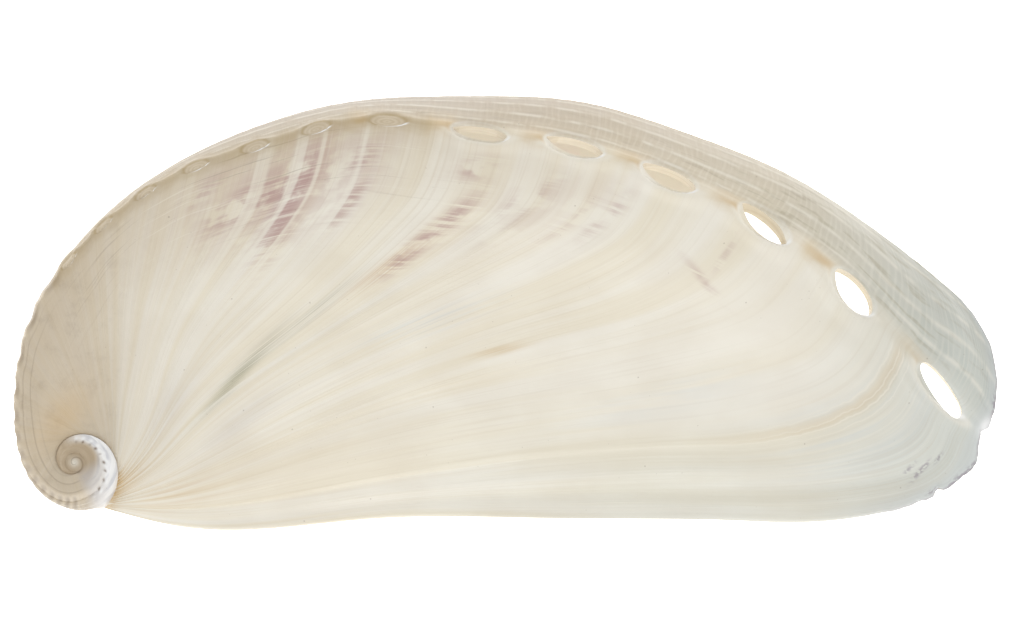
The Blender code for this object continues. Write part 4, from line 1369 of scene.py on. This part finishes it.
    def holes(self, coat: Coat, growth: Growth) -> None:
        """Amber bridges and pale lips of the open holes, the scars of the sealed ones, and painted highlights beside
        both.

        Args:
            coat: the colour so far.
            growth: growth coordinates.
        """
        sheet = growth.sheet
        part, across = growth.part, growth.across
        past = sheet.math("FRACT", growth.age)
        open_row = sheet.steps(growth.age, 6.7, 6.3) * sheet.steps(growth.ring, 0.74, 0.86)
        open_row = open_row * sheet.steps(growth.age, -0.1, 0.1) * (sheet.steps(growth.age, 0.7, 1.2) * 0.5 + 0.5)
        ragged = across + (sheet.noise(growth.age * 5.0, across * 1.5, 95.0) - 0.5) * 1.0
        bridge = sheet.bell((ragged + 0.2) / 0.85) * open_row
        older_end = sheet.window(past, 0.24, 0.56, 0.09)
        coat.over(bridge * (older_end * 0.38 + 0.14), self.amber)
        core = sheet.bell((ragged + 0.05) / 0.36) * open_row * sheet.window(past, 0.25, 0.42, 0.07)
        coat.over(core * 0.3, self.gold)
        inner_side = sheet.steps(across, -0.2, 0.35)
        # Painted highlight: a white line along each open hole's lip, strongest on its inner side, over the lip's own
        # pale shell.
        lip = sheet.bell((growth.ring - 0.77) / 0.06) * (inner_side * sheet.steps(part, 0.22, 0.0) * 0.75 + 0.12)
        coat.over(lip, self.pearl)
        # Painted highlight: pale sheen on the collar's inner side.
        collar_highlight = sheet.bell((growth.ring - 0.92) / 0.14) * inner_side
        coat.over(collar_highlight * 0.5, self.pale)

        sealed = sheet.window(growth.age, 5.5, 12.6, 0.1)
        size = sheet.steps(growth.age, 13.0, 6.0) * 0.26 + 0.3
        round_scar = sheet.length(part / 0.22, across / size)
        inside = sheet.steps(round_scar, 1.02, 0.9) * sealed
        rim = sheet.bell((round_scar - 1.0) / 0.16) * sealed
        golden = sheet.bell(ragged / 0.9) * sealed * (1.0 - inside)
        coat.over(golden * 0.5, self.bronze)
        coat.over(inside * 0.7, self.sand)
        layers = sheet.math("COSINE", round_scar * (3.0 * FULL_TURN)) * 0.5 + 0.5
        coat.over(inside * layers * 0.3, self.bronze)
        coat.over(rim * 0.55, self.bronze)
        # Painted highlight: a white crescent beside each scar.
        scar_highlight = sheet.bell((round_scar - 1.08) / 0.12) * sealed * sheet.steps(across, 0.0, 0.3)
        scar_highlight = scar_highlight * sheet.steps(part, 0.14, -0.1)
        coat.over(scar_highlight * 0.95, self.pearl)

    def oldest(self, coat: Coat, growth: Growth) -> None:
        """Mottled brown oldest part of the last whorl, with two dark spiral grooves and beads along its edge.

        Args:
            coat: the colour so far.
            growth: growth coordinates.
        """
        sheet, x, y = growth.sheet, growth.x, growth.y
        fade = sheet.steps(growth.turn, 352.0, 325.0)
        mottle = sheet.noise(x * 0.5, y * 0.5, 83.0, detail=5.0, roughness=0.68)
        mottled = sheet.steps(growth.age, 8.0, 13.0) * fade
        coat.over(mottled * sheet.steps(mottle, 0.48, 0.72) * 0.17, self.umber)
        coat.over(mottled * sheet.steps(mottle, 0.5, 0.3) * 0.3, self.sand)
        glow = Patch(-44.2, -10.6, 3.8, 2.0, 55.0).mask(sheet, x, y)
        coat.over(glow * 0.4, self.gold)
        old = sheet.window(growth.age, 13.5, 29.5, 1.5) * fade
        first, second = WHORL_LINES
        lines = sheet.bell((growth.across - first) / 0.07) + sheet.bell((growth.across - second) / 0.07)
        lines = lines + sheet.bell((growth.across - 2.6) / 0.07) * 0.5 * sheet.steps(growth.age, 14.0, 18.0)
        coat.over(old * lines * 0.26, self.umber)
        edge = sheet.steps(growth.across, 0.6, 0.2) * sheet.window(growth.age, 12.5, 26.0, 0.5)
        bead = sheet.bell(growth.part / 0.26)
        coat.over(edge * (1.0 - bead) * 0.42, self.umber)
        coat.over(edge * bead * 0.3, self.sand)

    def spire(self, coat: Coat, growth: Growth) -> None:
        """Colours the whorl before: brown about the nucleus, worn to pearl beside the suture, with painted sheen on
        its right, painted shade in its pits and painted glints beside them.

        Args:
            coat: the colour so far.
            growth: growth coordinates.
        """
        sheet, x, y = growth.sheet, growth.x, growth.y
        suture = Suture()
        east = x - suture.nucleus[0]
        north = y - suture.nucleus[1]
        out = sheet.length(east, north)
        coil = sheet.noise(out * 3.2, growth.turn * 0.006, 3.0, detail=3.0)
        brown = sheet.mix(sheet.steps(coil, 0.4, 0.65) * 0.12, self.taupe, self.umber)
        # Painted sheen: silver over the brown on the whorl's lower right side.
        brown = sheet.mix(sheet.steps(east * 0.5 - north * 0.8, 0.5, 1.8) * 0.45, brown, self.silver)
        brown = sheet.mix(sheet.steps(coil, 0.44, 0.3) * 0.6, brown, self.sand)
        brown = sheet.mix(sheet.bell(out / 0.42) * 0.9, brown, self.pale)
        turns = sheet.math("ARCTAN2", north, east) * (0.5 / math.pi) - suture.start_angle / 360
        phase = sheet.math("LOGARITHM", out / suture.start_radius, suture.expansion) * -1.0 - turns
        slit = sheet.bell((phase - sheet.math("ROUND", phase)) / 0.07) * sheet.steps(out, 1.35, 1.05)
        brown = sheet.mix(slit * 0.5, brown, self.umber)
        coat.over(sheet.steps(growth.turn, 322.0, 362.0) * 0.95, brown)

        seam = sheet.bell(growth.from_suture / 0.2) * sheet.window(growth.turn, 40.0, 300.0, 25.0)
        coat.over(seam * 0.35, self.umber)
        golden = sheet.bell(growth.from_suture / 0.9) * sheet.steps(growth.turn, 56.0, 24.0)
        coat.over(golden * sheet.steps(growth.streak, 0.3, 0.6) * 0.9, self.gold)
        # Worn nacre beside the suture: its own pearl, painted near white as a sheen.
        reach = sheet.steps(growth.turn, 480.0, 350.0) * 1.3
        worn = sheet.steps(growth.across - reach, 0.35, -0.35) * sheet.steps(growth.turn, 316.0, 410.0)
        worn = worn * sheet.steps(growth.turn, 545.0, 470.0)
        tint = sheet.noise(out * 1.8, growth.turn * 0.02, 7.0)
        sheen = sheet.mix(sheet.steps(tint, 0.45, 0.68) * 0.8, self.pearl, self.silver)
        coat.over(worn * (sheet.steps(growth.across, 0.5, -0.3) * 0.45 + 0.5), sheen)
        # Painted shade darkens the pits of the row, and painted glints lie beside them.
        pits = sheet.window(growth.age, 28.4, 37.4, 0.8)
        pit = sheet.bell(growth.part / 0.2) * sheet.bell((growth.across + 0.02) / 0.16)
        pit = pit * sheet.steps(sheet.noise(growth.age * 0.9, 0.0, 99.0), 0.35, 0.55)
        coat.over(pit * pits * 0.85, self.umber)
        glint = sheet.bell((growth.part - 0.1) / 0.26) * sheet.bell((growth.across + 0.4) / 0.18)
        coat.over(glint * pits * 0.8, self.pearl)

    def lip(self, coat: Coat, growth: Growth) -> None:
        """Frosty newest edge with broken purple marks along the growth lines, and a white tip beside the notch.

        Args:
            coat: the colour so far.
            growth: growth coordinates.
        """
        sheet, x, y = growth.sheet, growth.x, growth.y
        edge = sheet.steps(growth.age, -0.4, -0.76) * sheet.steps(x, 30.0, 42.0)
        coat.over(edge * 0.5, self.steel)
        marks = sheet.noise(growth.age * 20.0, growth.across * 2.2, 91.0, detail=2.0)
        mauve = growth.together(self.mauve_patches) * sheet.steps(marks, 0.42, 0.56)
        coat.over(mauve * 0.62, self.mauve)
        border = sheet.steps(growth.age, -0.73, -0.79) * sheet.steps(x, 33.0, 43.0) * sheet.steps(marks, 0.36, 0.5)
        coat.over(border * 0.4, self.mauve)
        tip = Patch(47.9, -11.3, 1.0, 0.5, 60.0).mask(sheet, x, y)
        coat.over(tip * 0.9, self.pearl)


@dataclass(frozen=True)
class LiningFinish(ShellFinish):
    """Mother-of-pearl of the inner side: silver with soft pink and green clouds along the growth lines."""

    roughness: float = 0.24
    coat: float = 0.4
    silver: Colour = paint(226, 222, 212)
    pink: Colour = paint(226, 203, 208)
    green: Colour = paint(196, 218, 206)
    cream: Colour = paint(238, 233, 219)

    def material(self) -> Material:
        """Builds the material.

        Returns:
            The material.
        """
        material, sheet, shader = self.start("pearly_lining")
        x, y, z = self.place(sheet)
        age, across = self.coordinates(sheet, "growth")
        down, _ = self.coordinates(sheet, "place")
        drift = sheet.noise(x * 0.11, y * 0.11, z * 0.1, detail=3.0)
        waves = sheet.noise(age * 1.7 + drift * 2.0, across * 0.09, 4.0, detail=3.0)
        colour = sheet.mix(sheet.steps(waves, 0.5, 0.66), self.silver, self.pink)
        colour = sheet.mix(sheet.steps(waves, 0.46, 0.32), colour, self.green)
        colour = sheet.mix(sheet.steps(down, 0.2, 0.9) * 0.8, colour, self.cream)
        sheet.put(colour, shader.inputs["Base Color"])
        self.roughen(sheet, shader, sheet.noise(age * 5.0, across * 0.1, 6.0, detail=2.0), 0.12)
        return material


@dataclass(frozen=True)
class EdgeFinish(ShellFinish):
    """Smooth cream edge of the lip and of the open holes, where the layers of the wall show."""

    roughness: float = 0.35
    cream: Colour = paint(220, 209, 186)
    layer: Colour = paint(204, 190, 160)

    def material(self) -> Material:
        """Builds the material.

        Returns:
            The material.
        """
        material, sheet, shader = self.start("wall_edge")
        x, y, z = self.place(sheet)
        layers = sheet.noise(z * 3.0, x * 0.1, y * 0.1, detail=2.0)
        sheet.put(sheet.mix(sheet.steps(layers, 0.4, 0.7) * 0.6, self.cream, self.layer), shader.inputs["Base Color"])
        self.roughen(sheet, shader, layers, 0.05)
        return material


@dataclass(frozen=True)
class Fineness:
    """How finely one side of the wall is divided.

    Attributes:
        rows: points along a line of growth, from the suture to the row of holes.
        gap: distance between the rows nearest the holes, in millimetres.
        band_rows: points across the outer band.
        ring_lines: lines of the whorl before.
        stretches: start, end and lines to each hole of each stretch of the last whorl, by age.
    """

    rows: int
    gap: float
    band_rows: int
    ring_lines: int
    stretches: tuple

    def ages(self) -> Array:
        """Ages of the lines of the last whorl.

        Returns:
            Rising ages, from the lip back.
        """
        parts = [np.arange(round((end - start) * density)) / density + start
                 for start, end, density in self.stretches]
        return np.append(np.concatenate(parts), self.stretches[-1][1])

    def steps(self) -> Array:
        """Shares of the outer band's width."""
        return np.linspace(0, 1, self.band_rows)

    def ring(self) -> Array:
        """Turns of the lines of the whorl before."""
        return np.linspace(0, 360, self.ring_lines)


@dataclass
class AbaloneShell:
    """The whole shell: outer skin, lining, rim, shelf and open holes, as one closed mesh.

    Attributes:
        growth, dome, row, relief: the parts of its form.
        wall, lip_wall, spire_wall: thickness of the wall.
        shelf_edge, shelf_root: thickness of the inner shelf.
        hole_turn: degrees of turn to each hole on the whorl before.
        join_turn: turn over which the whorl before takes its own height, in degrees.
        nucleus_radius: radius of the dome over the nucleus.
        notch_tip, notch_step: end of the band beside the notch in the lip, and its share of the band.
        lip_bulges: where the lip swells or is chipped, as distance from the row of holes, reach and size.
        keel: middle line of the hollow, which the walls are drawn in towards.
        long_line: length of a line of growth that has the gaps beside the suture in full.
        suture_gaps: distances from the suture of the rows beside it.
        outer, inner: fineness of the two sides of the wall.
        sharp_from: angle of an edge that is shown sharp, in degrees.
    """

    growth: GrowthPlan = GrowthPlan()
    dome: Dome = Dome()
    row: HoleRow = HoleRow()
    relief: Relief = Relief()
    wall: float = 1.4
    lip_wall: float = 0.8
    spire_wall: float = 2.3
    shelf_edge: float = 1.0
    shelf_root: float = 1.7
    hole_turn: float = 17.0
    join_turn: float = 80.0
    nucleus_radius: float = 1.0
    notch_tip: Point = (48.2, -11.5)
    notch_step: float = 0.12
    lip_bulges: tuple = (
        (2.9, 1.8, 0.75), (7.4, 0.35, -0.55), (9.3, 0.3, -0.15), (11.5, 0.5, 0.1), (4.6, 0.3, -0.12),
    )
    keel: tuple[Point, ...] = ((-42.0, -14.0), (-24.0, 0.0), (8.0, 3.0), (38.0, -7.0))
    long_line: float = 84.0
    suture_gaps: tuple[float, ...] = (7.0, 5.9, 4.9, 3.9, 3.0, 2.1, 1.3, 0.6, 0.0)
    outer: Fineness = Fineness(
        116, 0.22, 36, 101, ((-0.8, 6.0, 22), (6.0, 14.0, 14), (14.0, 20.0, 10), (20.0, 28.6, 8)))
    inner: Fineness = Fineness(56, 0.5, 12, 51, ((-0.8, 6.0, 8), (6.0, 14.0, 5), (14.0, 20.0, 4), (20.0, 28.6, 3)))
    sharp_from: float = 50.0

    def away(self, points: Array) -> Array:
        """Unit directions from the nearest point of the keel, the middle of the hollow, out to each point.

        Args:
            points: places on the shell.

        Returns:
            A direction for each.
        """
        best = np.full(points.shape[:-1], np.inf)
        away = np.zeros_like(points)
        for start, end in zip(self.keel[:-1], self.keel[1:]):
            start = np.array([*start, 0.0])
            run = np.array([*end, 0.0]) - start
            along = np.clip((points - start) @ run / (run @ run), 0.0, 1.0)
            gap = points - (start + along[..., None] * run)
            size = np.linalg.norm(gap, axis=-1)
            nearer = size < best
            best = np.where(nearer, size, best)
            away = np.where(nearer[..., None], gap / size[..., None], away)
        return away

    def row_places(self, total: float, rows: int, gap: float) -> Array:
        """Distances from the suture at which a line is read.

        Args:
            total: length of the line.
            rows: how many points it gets.
            gap: distance between the rows nearest the holes.

        Returns:
            Rising distances, closest together beside the holes and the suture.
        """
        ends = np.array(self.suture_gaps) * min(1.0, total / self.long_line)
        count = rows - len(ends)
        reach = total - ends[0]
        step = min(gap, reach / count)
        share = np.arange(count) / count
        from_row = step * count * share + (reach - step * count) * share ** 2.5
        return total - np.append(from_row, total - ends)[::-1]

    def bulge_lip(self, plan: Array) -> None:
        """Gives the lip its swellings and chips.

        Args:
            plan: plan points of the lines of growth, the lip's own line first.
        """
        from_row = np.linalg.norm(plan[0] - plan[0, -1], axis=-1)
        size = sum(rise * bell((from_row - place) / reach) for place, reach, rise in self.lip_bulges)
        size = size + 0.05 * np.sin(from_row * 5.3) * np.cos(from_row * 2.1) * bell(from_row / 14.0)
        outward = self.away(np.concatenate([plan[0], np.zeros((len(plan[0]), 1))], axis=1))[:, :2]
        fade = 1 - smooth_step(np.linalg.norm(plan - plan[0], axis=-1) / 1.6)
        plan += outward[None] * (size[None] * fade)[..., None]

    def round_lip(self, body: Array, rows: int, steps: Array) -> None:
        """Rounds the outer side of the lip, so that its edge stays thick where the shell lies flat.

        Args:
            body: points of the last whorl, changed in place.
            rows: points along each line of growth.
            steps: shares of the band's width.
        """
        from_lip = np.linalg.norm(body[..., :2] - body[:1, :, :2], axis=-1)
        share = np.clip(from_lip / self.lip_wall, 0, 1)
        thick = self.lip_wall * np.sqrt(1 - (1 - share) ** 2)
        thick[:, rows:] *= 1 - steps[None, 1:]
        body[..., 2] = np.hypot(body[..., 2], thick)

    def whorls(self, ages: Array, ring: Array, rows: int, gap: float, steps: Array,
               outer: bool) -> tuple[Array, Array]:
        """Smooth surfaces of the last whorl and of the one before.

        Args:
            ages: age of each line of the last whorl.
            ring: turns of the lines of the whorl before.
            rows: points along each line.
            gap: distance between the rows nearest the holes.
            steps: shares of the band's width.
            outer: True for the outer side, which has the lip's own shape.

        Returns:
            Points of the last whorl and of the one before, lines by rows.
        """
        lines = []
        for line in self.growth.line(ages):
            length = np.append(0.0, np.cumsum(np.linalg.norm(np.diff(line, axis=0), axis=-1)))
            at = self.row_places(length[-1], rows, gap)
            lines.append(np.column_stack([np.interp(at, length, line[:, 0]), np.interp(at, length, line[:, 1])]))
        plan = np.array(lines)
        height = self.dome.line_heights(self.growth, ages, plan)
        if outer:
            self.bulge_lip(plan)
        band = self.growth.outer_band(ages, steps)
        tip = bell((steps - self.notch_step) / 0.1) * (steps > 0)
        at_notch = self.growth.outer_band(ages[:1], np.array([self.notch_step]))[0]
        band[0] += tip[:, None] * (np.array(self.notch_tip) - at_notch)
        fall = self.dome.band_heights(self.growth, ages, height[:, -1], steps)
        body = np.concatenate([np.concatenate([plan, height[..., None]], -1),
                               np.concatenate([band, fall[..., None]], -1)[:, 1:]], axis=1)
        if outer:
            self.round_lip(body, rows, steps)
        seam = np.interp(ring, self.growth.turn(ages), body[:, 0, 2])
        return body, self.whorl_before(ring, seam, body[-1], rows - 1)

    def whorl_before(self, turns: Array, seam: Array, first: Array, split: int) -> Array:
        """Smooth surface of the whorl before, from the nucleus out to the suture, in the same rows.

        Args:
            turns: turn of each line.
            seam: height of the suture at each turn.
            first: points of the line that both whorls share.
            split: number of the row of holes.

        Returns:
            Its points, lines by rows.
        """
        suture = self.growth.suture
        outer = suture.radius(turns)[:, None]
        reach = np.linalg.norm(first[:, :2] - np.array(suture.nucleus), axis=-1)
        share = (reach - self.nucleus_radius) / (reach[-1] - self.nucleus_radius)
        plan = suture.about(self.nucleus_radius + (outer - self.nucleus_radius) * share[None, :], turns[:, None])
        top = self.dome.old_suture[-1]
        row = np.interp(turns, (0, 25, 60, 100, 150, 360), (self.dome.old_row[-1], 4.8, 5.2, 5.6, 5.85, top))[:, None]
        along = share[:split + 1] / share[split]
        down = (share[split + 1:] - share[split]) / (1 - share[split])
        height = np.concatenate([top + (row - top) * along[None, :] ** 1.6,
                                 seam[:, None] + (row - seam[:, None]) * (1 - down[None, :] ** 1.6)], axis=1)
        surface = np.concatenate([plan, height[..., None]], axis=-1)
        return surface + (first - surface[0]) * (1 - smooth_step(turns / self.join_turn))[:, None, None]

    def meet(self, body: Array, ages: Array, ring: Array, before: Array) -> None:
        """Moves the edges of the two whorls to the points that they share.

        Args:
            body: points of the last whorl, changed in place.
            ages: age of each line.
            ring: turns of the lines of the whorl before.
            before: points of the whorl before, changed in place.
        """
        turns = self.growth.turn(ages)
        heights = np.interp(ring, turns, body[:, 0, 2])
        seam = np.column_stack([self.growth.suture.point(ring), heights])
        body[:, 0] = seam[np.round(turns / ring[1]).astype(int)]
        body[-1, -1] = body[0, 0]
        before[:, -1] = seam
        before[0] = body[-1]
        before[-1] = body[-1, 0]

    def coordinates(self, points: Array, ages: Array, turns: Array, split: int,
                    side: Side) -> GrowthGrid:
        """Growth coordinates of a whorl's points.

        Args:
            points: the whorl, lines by rows.
            ages: age of each line.
            turns: turn of each line.
            split: number of the row of holes.
            side: side of the wall.

        Returns:
            The points with their coordinates.
        """
        plan = points[..., :2]
        row = plan[:, split:split + 1]
        across = np.linalg.norm(plan - row, axis=-1)
        across[:, split + 1:] *= -1
        count = plan.shape[1] - 1 - split
        down = np.concatenate([np.zeros(split + 1), np.arange(1, count + 1) / count])[None, :]
        values = {
            "age": ages[:, None], "across": across, "down": down, "length": across[:, :1],
            "spacing": np.linalg.norm(np.gradient(row[:, 0], ages, axis=0), axis=-1)[:, None],
            "crowding": np.linalg.norm(np.gradient(plan, ages, axis=0), axis=-1),
            "ring": np.minimum(self.row.ring(plan), 9.0),
            "from_suture": np.linalg.norm(plan - plan[:, :1], axis=-1),
            "turn": turns[:, None], "side": np.full((1, 1), float(side.value)),
        }
        return GrowthGrid(points, self.away(points), values)

    def cap(self, skin: Skin, rim: GrowthGrid, places: Array, top: float, rings: int = 7) -> None:
        """Low dome over the nucleus.

        Args:
            skin: the shell so far.
            rim: the circle round the nucleus, with its coordinates.
            places: its point numbers.
            top: height of the middle.
            rings: how many rings the dome has.
        """
        middle = np.array([*self.growth.suture.nucleus, 0.0])
        shares = np.linspace(0, 1, rings + 1)[1:, None, None]
        inward = rim.points[None] * (1 - shares) + middle * shares
        rise = np.sqrt(1 - (1 - shares[..., 0]) ** 2)
        inward[..., 2] = rim.points[None, :, 2] * (1 - rise) + top * rise
        values = {name: np.broadcast_to(value, rim.points.shape[:-1])[None] for name, value in rim.values.items()}
        dome = GrowthGrid(inward, np.broadcast_to([0.0, 0.0, 1.0], inward.shape), values)
        skin.join(np.concatenate([places[None], skin.add(dome)]).T[:, ::-1])

    def skin_of(self, skin: Skin, body: Array, before: Array, ages: Array, ring: Array,
                split: int, side: Side, top: float) -> Array:
        """Adds both whorls and the nucleus of one side of the wall.

        Args:
            skin: the shell so far.
            body, before: points of the last whorl and of the one before.
            ages, ring: ages and turns of their lines.
            split: number of the row of holes.
            side: side of the wall.
            top: height of the nucleus.

        Returns:
            The point numbers of the last whorl.
        """
        places = skin.add(self.coordinates(body, ages, self.growth.turn(ages), split, side))
        skin.join(places)
        old = self.coordinates(before, self.growth.whorl_age + ring / self.hole_turn, ring + 360, split, side)
        old_places = skin.add(old)
        skin.join(old_places)
        first = {name: np.broadcast_to(value, before.shape[:-1])[:, 0] for name, value in old.values.items()}
        self.cap(skin, GrowthGrid(before[:, 0], old.away[:, 0], first), old_places[:, 0], top)
        return places

    def wall_at(self, grid: Array, ages: Array) -> Array:
        """Wall thickness: thick under the spire, thin at the lip and where the lip meets the suture.

        Args:
            grid: points of the surface.
            ages: age of each line.

        Returns:
            Thickness at each point, in millimetres.
        """
        suture = self.growth.suture
        from_nucleus = np.linalg.norm(grid[..., :2] - np.array(suture.nucleus), axis=-1)
        from_corner = np.linalg.norm(grid[..., :2] - suture.point(0), axis=-1)
        wall = self.wall + (self.spire_wall - self.wall) * bell(from_nucleus / 6.0)
        at_lip = 1 - smooth_step((ages - self.growth.lip_age) / 1.2)[:, None]
        thin = np.maximum(at_lip, bell(from_corner / 2.5))
        return wall + (self.lip_wall - wall) * thin

    def edge(self, skin: Skin, places: Array, ages: Array, margin: Array,
             split: int) -> Edge:
        """Free edge as (address, point number): along the lip by distance, then along the margin by age.

        Args:
            skin: the shell so far.
            places: point numbers of the last whorl.
            ages: age of each line.
            margin: point numbers of the margin.
            split: number of the row of holes.

        Returns:
            The edge, in order.
        """
        lip = np.concatenate(skin.points)[places[0]]
        length = np.append(0.0, np.cumsum(np.linalg.norm(np.diff(lip, axis=0), axis=-1)))
        line = length[:split + 1] / length[split]
        band = 1 + (length[split + 1:] - length[split]) / (length[-1] - length[split])
        along_lip = list(zip(np.append(line, band), places[0]))
        return along_lip + [(2 + age - self.growth.lip_age, place) for age, place in zip(ages, margin)][1:]

    def outer_side(self, skin: Skin) -> Edge:
        """Adds the outer side, and returns its free edge.

        Args:
            skin: the shell so far.

        Returns:
            The edge, in order.
        """
        fine, rows = self.outer, self.outer.rows
        ages, ring = fine.ages(), fine.ring()
        body, before = self.whorls(ages, ring, rows, fine.gap, fine.steps(), outer=True)
        self.meet(body, ages, ring, before)
        places = self.skin_of(skin, body, before, ages, ring, rows - 1, Side.OUTER, self.dome.nucleus_height)
        return self.edge(skin, places, ages, places[:, -1], rows - 1)

    def lining_side(self, skin: Skin) -> Edge:
        """Adds the lining and the shelf along the margin, and returns their free edge.

        Args:
            skin: the shell so far.

        Returns:
            The edge, in order.
        """
        first_face = len(skin.faces)
        fine, rows = self.inner, self.inner.rows
        ages, ring = fine.ages(), fine.ring()
        body, before = self.whorls(ages, ring, rows, fine.gap, fine.steps(), outer=False)
        away = self.away(body)
        margin = body[:, -1].copy()
        outward = away[:, -1] * np.array([1.0, 1.0, 0.0])
        wall = self.wall_at(body, ages)
        body = body - away * wall[..., None]
        ramp = (smooth_step((ages - self.growth.lip_age) / 1.5)
                * smooth_step((self.growth.whorl_age - ages) / 2.0))[:, None]
        foot = margin - outward * wall[:, -1:]
        shelf_width = self.growth.shelf_width(ages)[:, None]
        inmost = foot - outward * (shelf_width - wall[:, -1:]) * smooth_step(ramp * 2)
        body[:, -1] = foot + np.array([0.0, 0.0, self.shelf_root]) * ramp
        lift = inmost + np.array([0.0, 0.0, self.shelf_edge]) * ramp
        body[..., 2] = np.maximum(body[..., 2], 0.0)
        before = before - self.away(before) * self.wall_at(before, ring + self.growth.whorl_age)[..., None]
        self.meet(body, ages, ring, before)
        top = before[:, 0, 2].mean() + 0.2
        places = self.skin_of(skin, body, before, ages, ring, rows - 1, Side.LINING, top)

        root = body[:, -1]
        half = root * 0.5 + lift * 0.5 + np.array([0.0, 0.0, 0.12]) * ramp
        rounded = inmost * 0.5 + lift * 0.5 - outward * 0.2 * ramp
        shelf = np.stack([root, half, lift, rounded, inmost], axis=1)
        shelf[-1] = body[-1, -1]
        grid = self.coordinates(shelf, ages, self.growth.turn(ages), 0, Side.LINING)
        grid.values["down"] = np.ones((1, 1))
        shelf_places = skin.add(grid)
        skin.join(shelf_places)
        skin.turn_over(first_face)
        return self.edge(skin, places, ages, shelf_places[:, -1], rows - 1)

    def build(self) -> bpy.types.Object:
        """Builds the shell, raises its relief, cuts its holes and dresses it.

        Returns:
            The finished piece, with nothing left live on it.
        """
        materials = [OuterFinish().material(), LiningFinish().material(), EdgeFinish().material()]
        skin = Skin()
        outer_edge = self.outer_side(skin)
        inner_edge = self.lining_side(skin)
        skin.close(outer_edge, inner_edge)
        raw = bpy.data.objects.new("raw_shell", skin.mesh("raw_shell"))
        for material in materials:
            raw.data.materials.append(material)
        bpy.context.scene.collection.objects.link(raw)
        self.relief.raise_on(raw, materials)
        raised = settle(raw, "raised_shell")
        cutter = self.row.cutter(raised, materials)
        cut = raised.modifiers.new("open_holes", "BOOLEAN")
        cut.operation = "DIFFERENCE"
        cut.solver = "EXACT"
        cut.object = cutter
        shell = settle(raised, "abalone_shell")
        bpy.data.objects.remove(cutter, do_unlink=True)
        for name in (*GrowthGrid.NAMES, "away"):
            attribute = shell.data.attributes.get(name)
            if attribute is not None:
                shell.data.attributes.remove(attribute)
        shell.data.set_sharp_from_angle(angle=math.radians(self.sharp_from))
        return shell


def settle(live: bpy.types.Object, name: str) -> bpy.types.Object:
    """Turns an object and its modifiers into a plain mesh object, and removes the live one.

    Args:
        live: object with modifiers.
        name: name of the plain one.

    Returns:
        The plain object, at the origin.
    """
    bpy.context.view_layer.update()
    graph = bpy.context.evaluated_depsgraph_get()
    mesh = bpy.data.meshes.new_from_object(live.evaluated_get(graph), preserve_all_data_layers=True, depsgraph=graph)
    bpy.data.objects.remove(live, do_unlink=True)
    plain = bpy.data.objects.new(name, mesh)
    bpy.context.scene.collection.objects.link(plain)
    bpy.context.view_layer.update()
    return plain


@dataclass(frozen=True)
class SoftBox:
    """A square soft light.

    Attributes:
        name: name of the light.
        place: in metres.
        power: in watts.
        size: of its side, in metres.
    """

    name: str
    place: tuple[float, float, float]
    power: float
    size: float

    def build(self) -> None:
        """Hangs the light and points it at the shell."""
        data = bpy.data.lights.new(self.name, "AREA")
        data.energy = self.power
        data.size = self.size
        light = bpy.data.objects.new(self.name, data)
        light.location = self.place
        aim = np.array(self.place)
        light.rotation_euler = (math.atan2(math.hypot(aim[0], aim[1]), aim[2]), 0.0, math.atan2(aim[0], -aim[1]))
        bpy.context.scene.collection.objects.link(light)


@dataclass(frozen=True)
class Studio:
    """White table, even light and a camera that looks straight down.

    Attributes:
        frame_width: width of the table that the picture shows, in millimetres.
        sensor: width of the camera's sensor, in millimetres.
        table_size, table_drop: side of the table and how far it lies below the shell, in metres.
        centre: middle of the picture on the table, in millimetres.
        camera_height: in metres.
        table_glow: light that the table gives of itself, as a light table does.
        sky: strength of the light from all round.
    """

    frame_width: float = 102.4
    centre: Point = (0.6, -0.15)
    camera_height: float = 2.0
    sensor: float = 36.0
    table_size: float = 3.0
    table_drop: float = 0.0002
    table_glow: float = 1.0
    sky: float = 0.5
    boxes: tuple[SoftBox, ...] = (
        SoftBox("key_box", (0.24, -0.28, 0.8), 2.7, 0.45),
        SoftBox("fill_box", (-0.45, 0.3, 0.65), 1.0, 0.5),
    )

    def table(self) -> None:
        """Lays the pale table."""
        bpy.ops.mesh.primitive_plane_add(size=self.table_size, location=(0.0, 0.0, -self.table_drop))
        table = bpy.context.object
        table.name = "table"
        material = bpy.data.materials.new("pale_table")
        material.use_nodes = True
        shader = material.node_tree.nodes["Principled BSDF"]
        shader.inputs["Base Color"].default_value = paint(245, 245, 245)
        shader.inputs["Roughness"].default_value = 0.8
        shader.inputs["Emission Color"].default_value = (1.0, 1.0, 1.0, 1.0)
        shader.inputs["Emission Strength"].default_value = self.table_glow
        table.data.materials.append(material)

    def camera(self) -> None:
        """Hangs the camera over the shell."""
        data = bpy.data.cameras.new("camera")
        data.sensor_width = self.sensor
        data.lens = data.sensor_width * self.camera_height / (self.frame_width * MM)
        data.clip_start = 0.1
        data.clip_end = 10.0
        camera = bpy.data.objects.new("camera", data)
        camera.location = (self.centre[0] * MM, self.centre[1] * MM, self.camera_height)
        bpy.context.scene.collection.objects.link(camera)
        bpy.context.scene.camera = camera

    def build(self) -> None:
        """Sets up the table, the lights, the sky and the camera."""
        self.table()
        self.camera()
        for box in self.boxes:
            box.build()
        world = bpy.data.worlds.new("studio")
        world.use_nodes = True
        world.node_tree.nodes["Background"].inputs["Strength"].default_value = self.sky
        world.node_tree.nodes["Background"].inputs["Color"].default_value = (1.0, 1.0, 1.0, 1.0)
        bpy.context.scene.world = world
        bpy.context.scene.view_settings.view_transform = "Standard"


def main() -> None:
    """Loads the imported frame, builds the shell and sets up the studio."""
    logging.basicConfig(level=logging.INFO, format="%(name)s: %(message)s")
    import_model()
    LOG.info("frame loaded")
    shell = AbaloneShell().build()
    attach(shell, "root")
    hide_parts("shell")
    LOG.info("shell: %d faces", len(shell.data.polygons))
    Studio().build()
    LOG.info("studio set up")


if __name__ == "__main__":
    main()
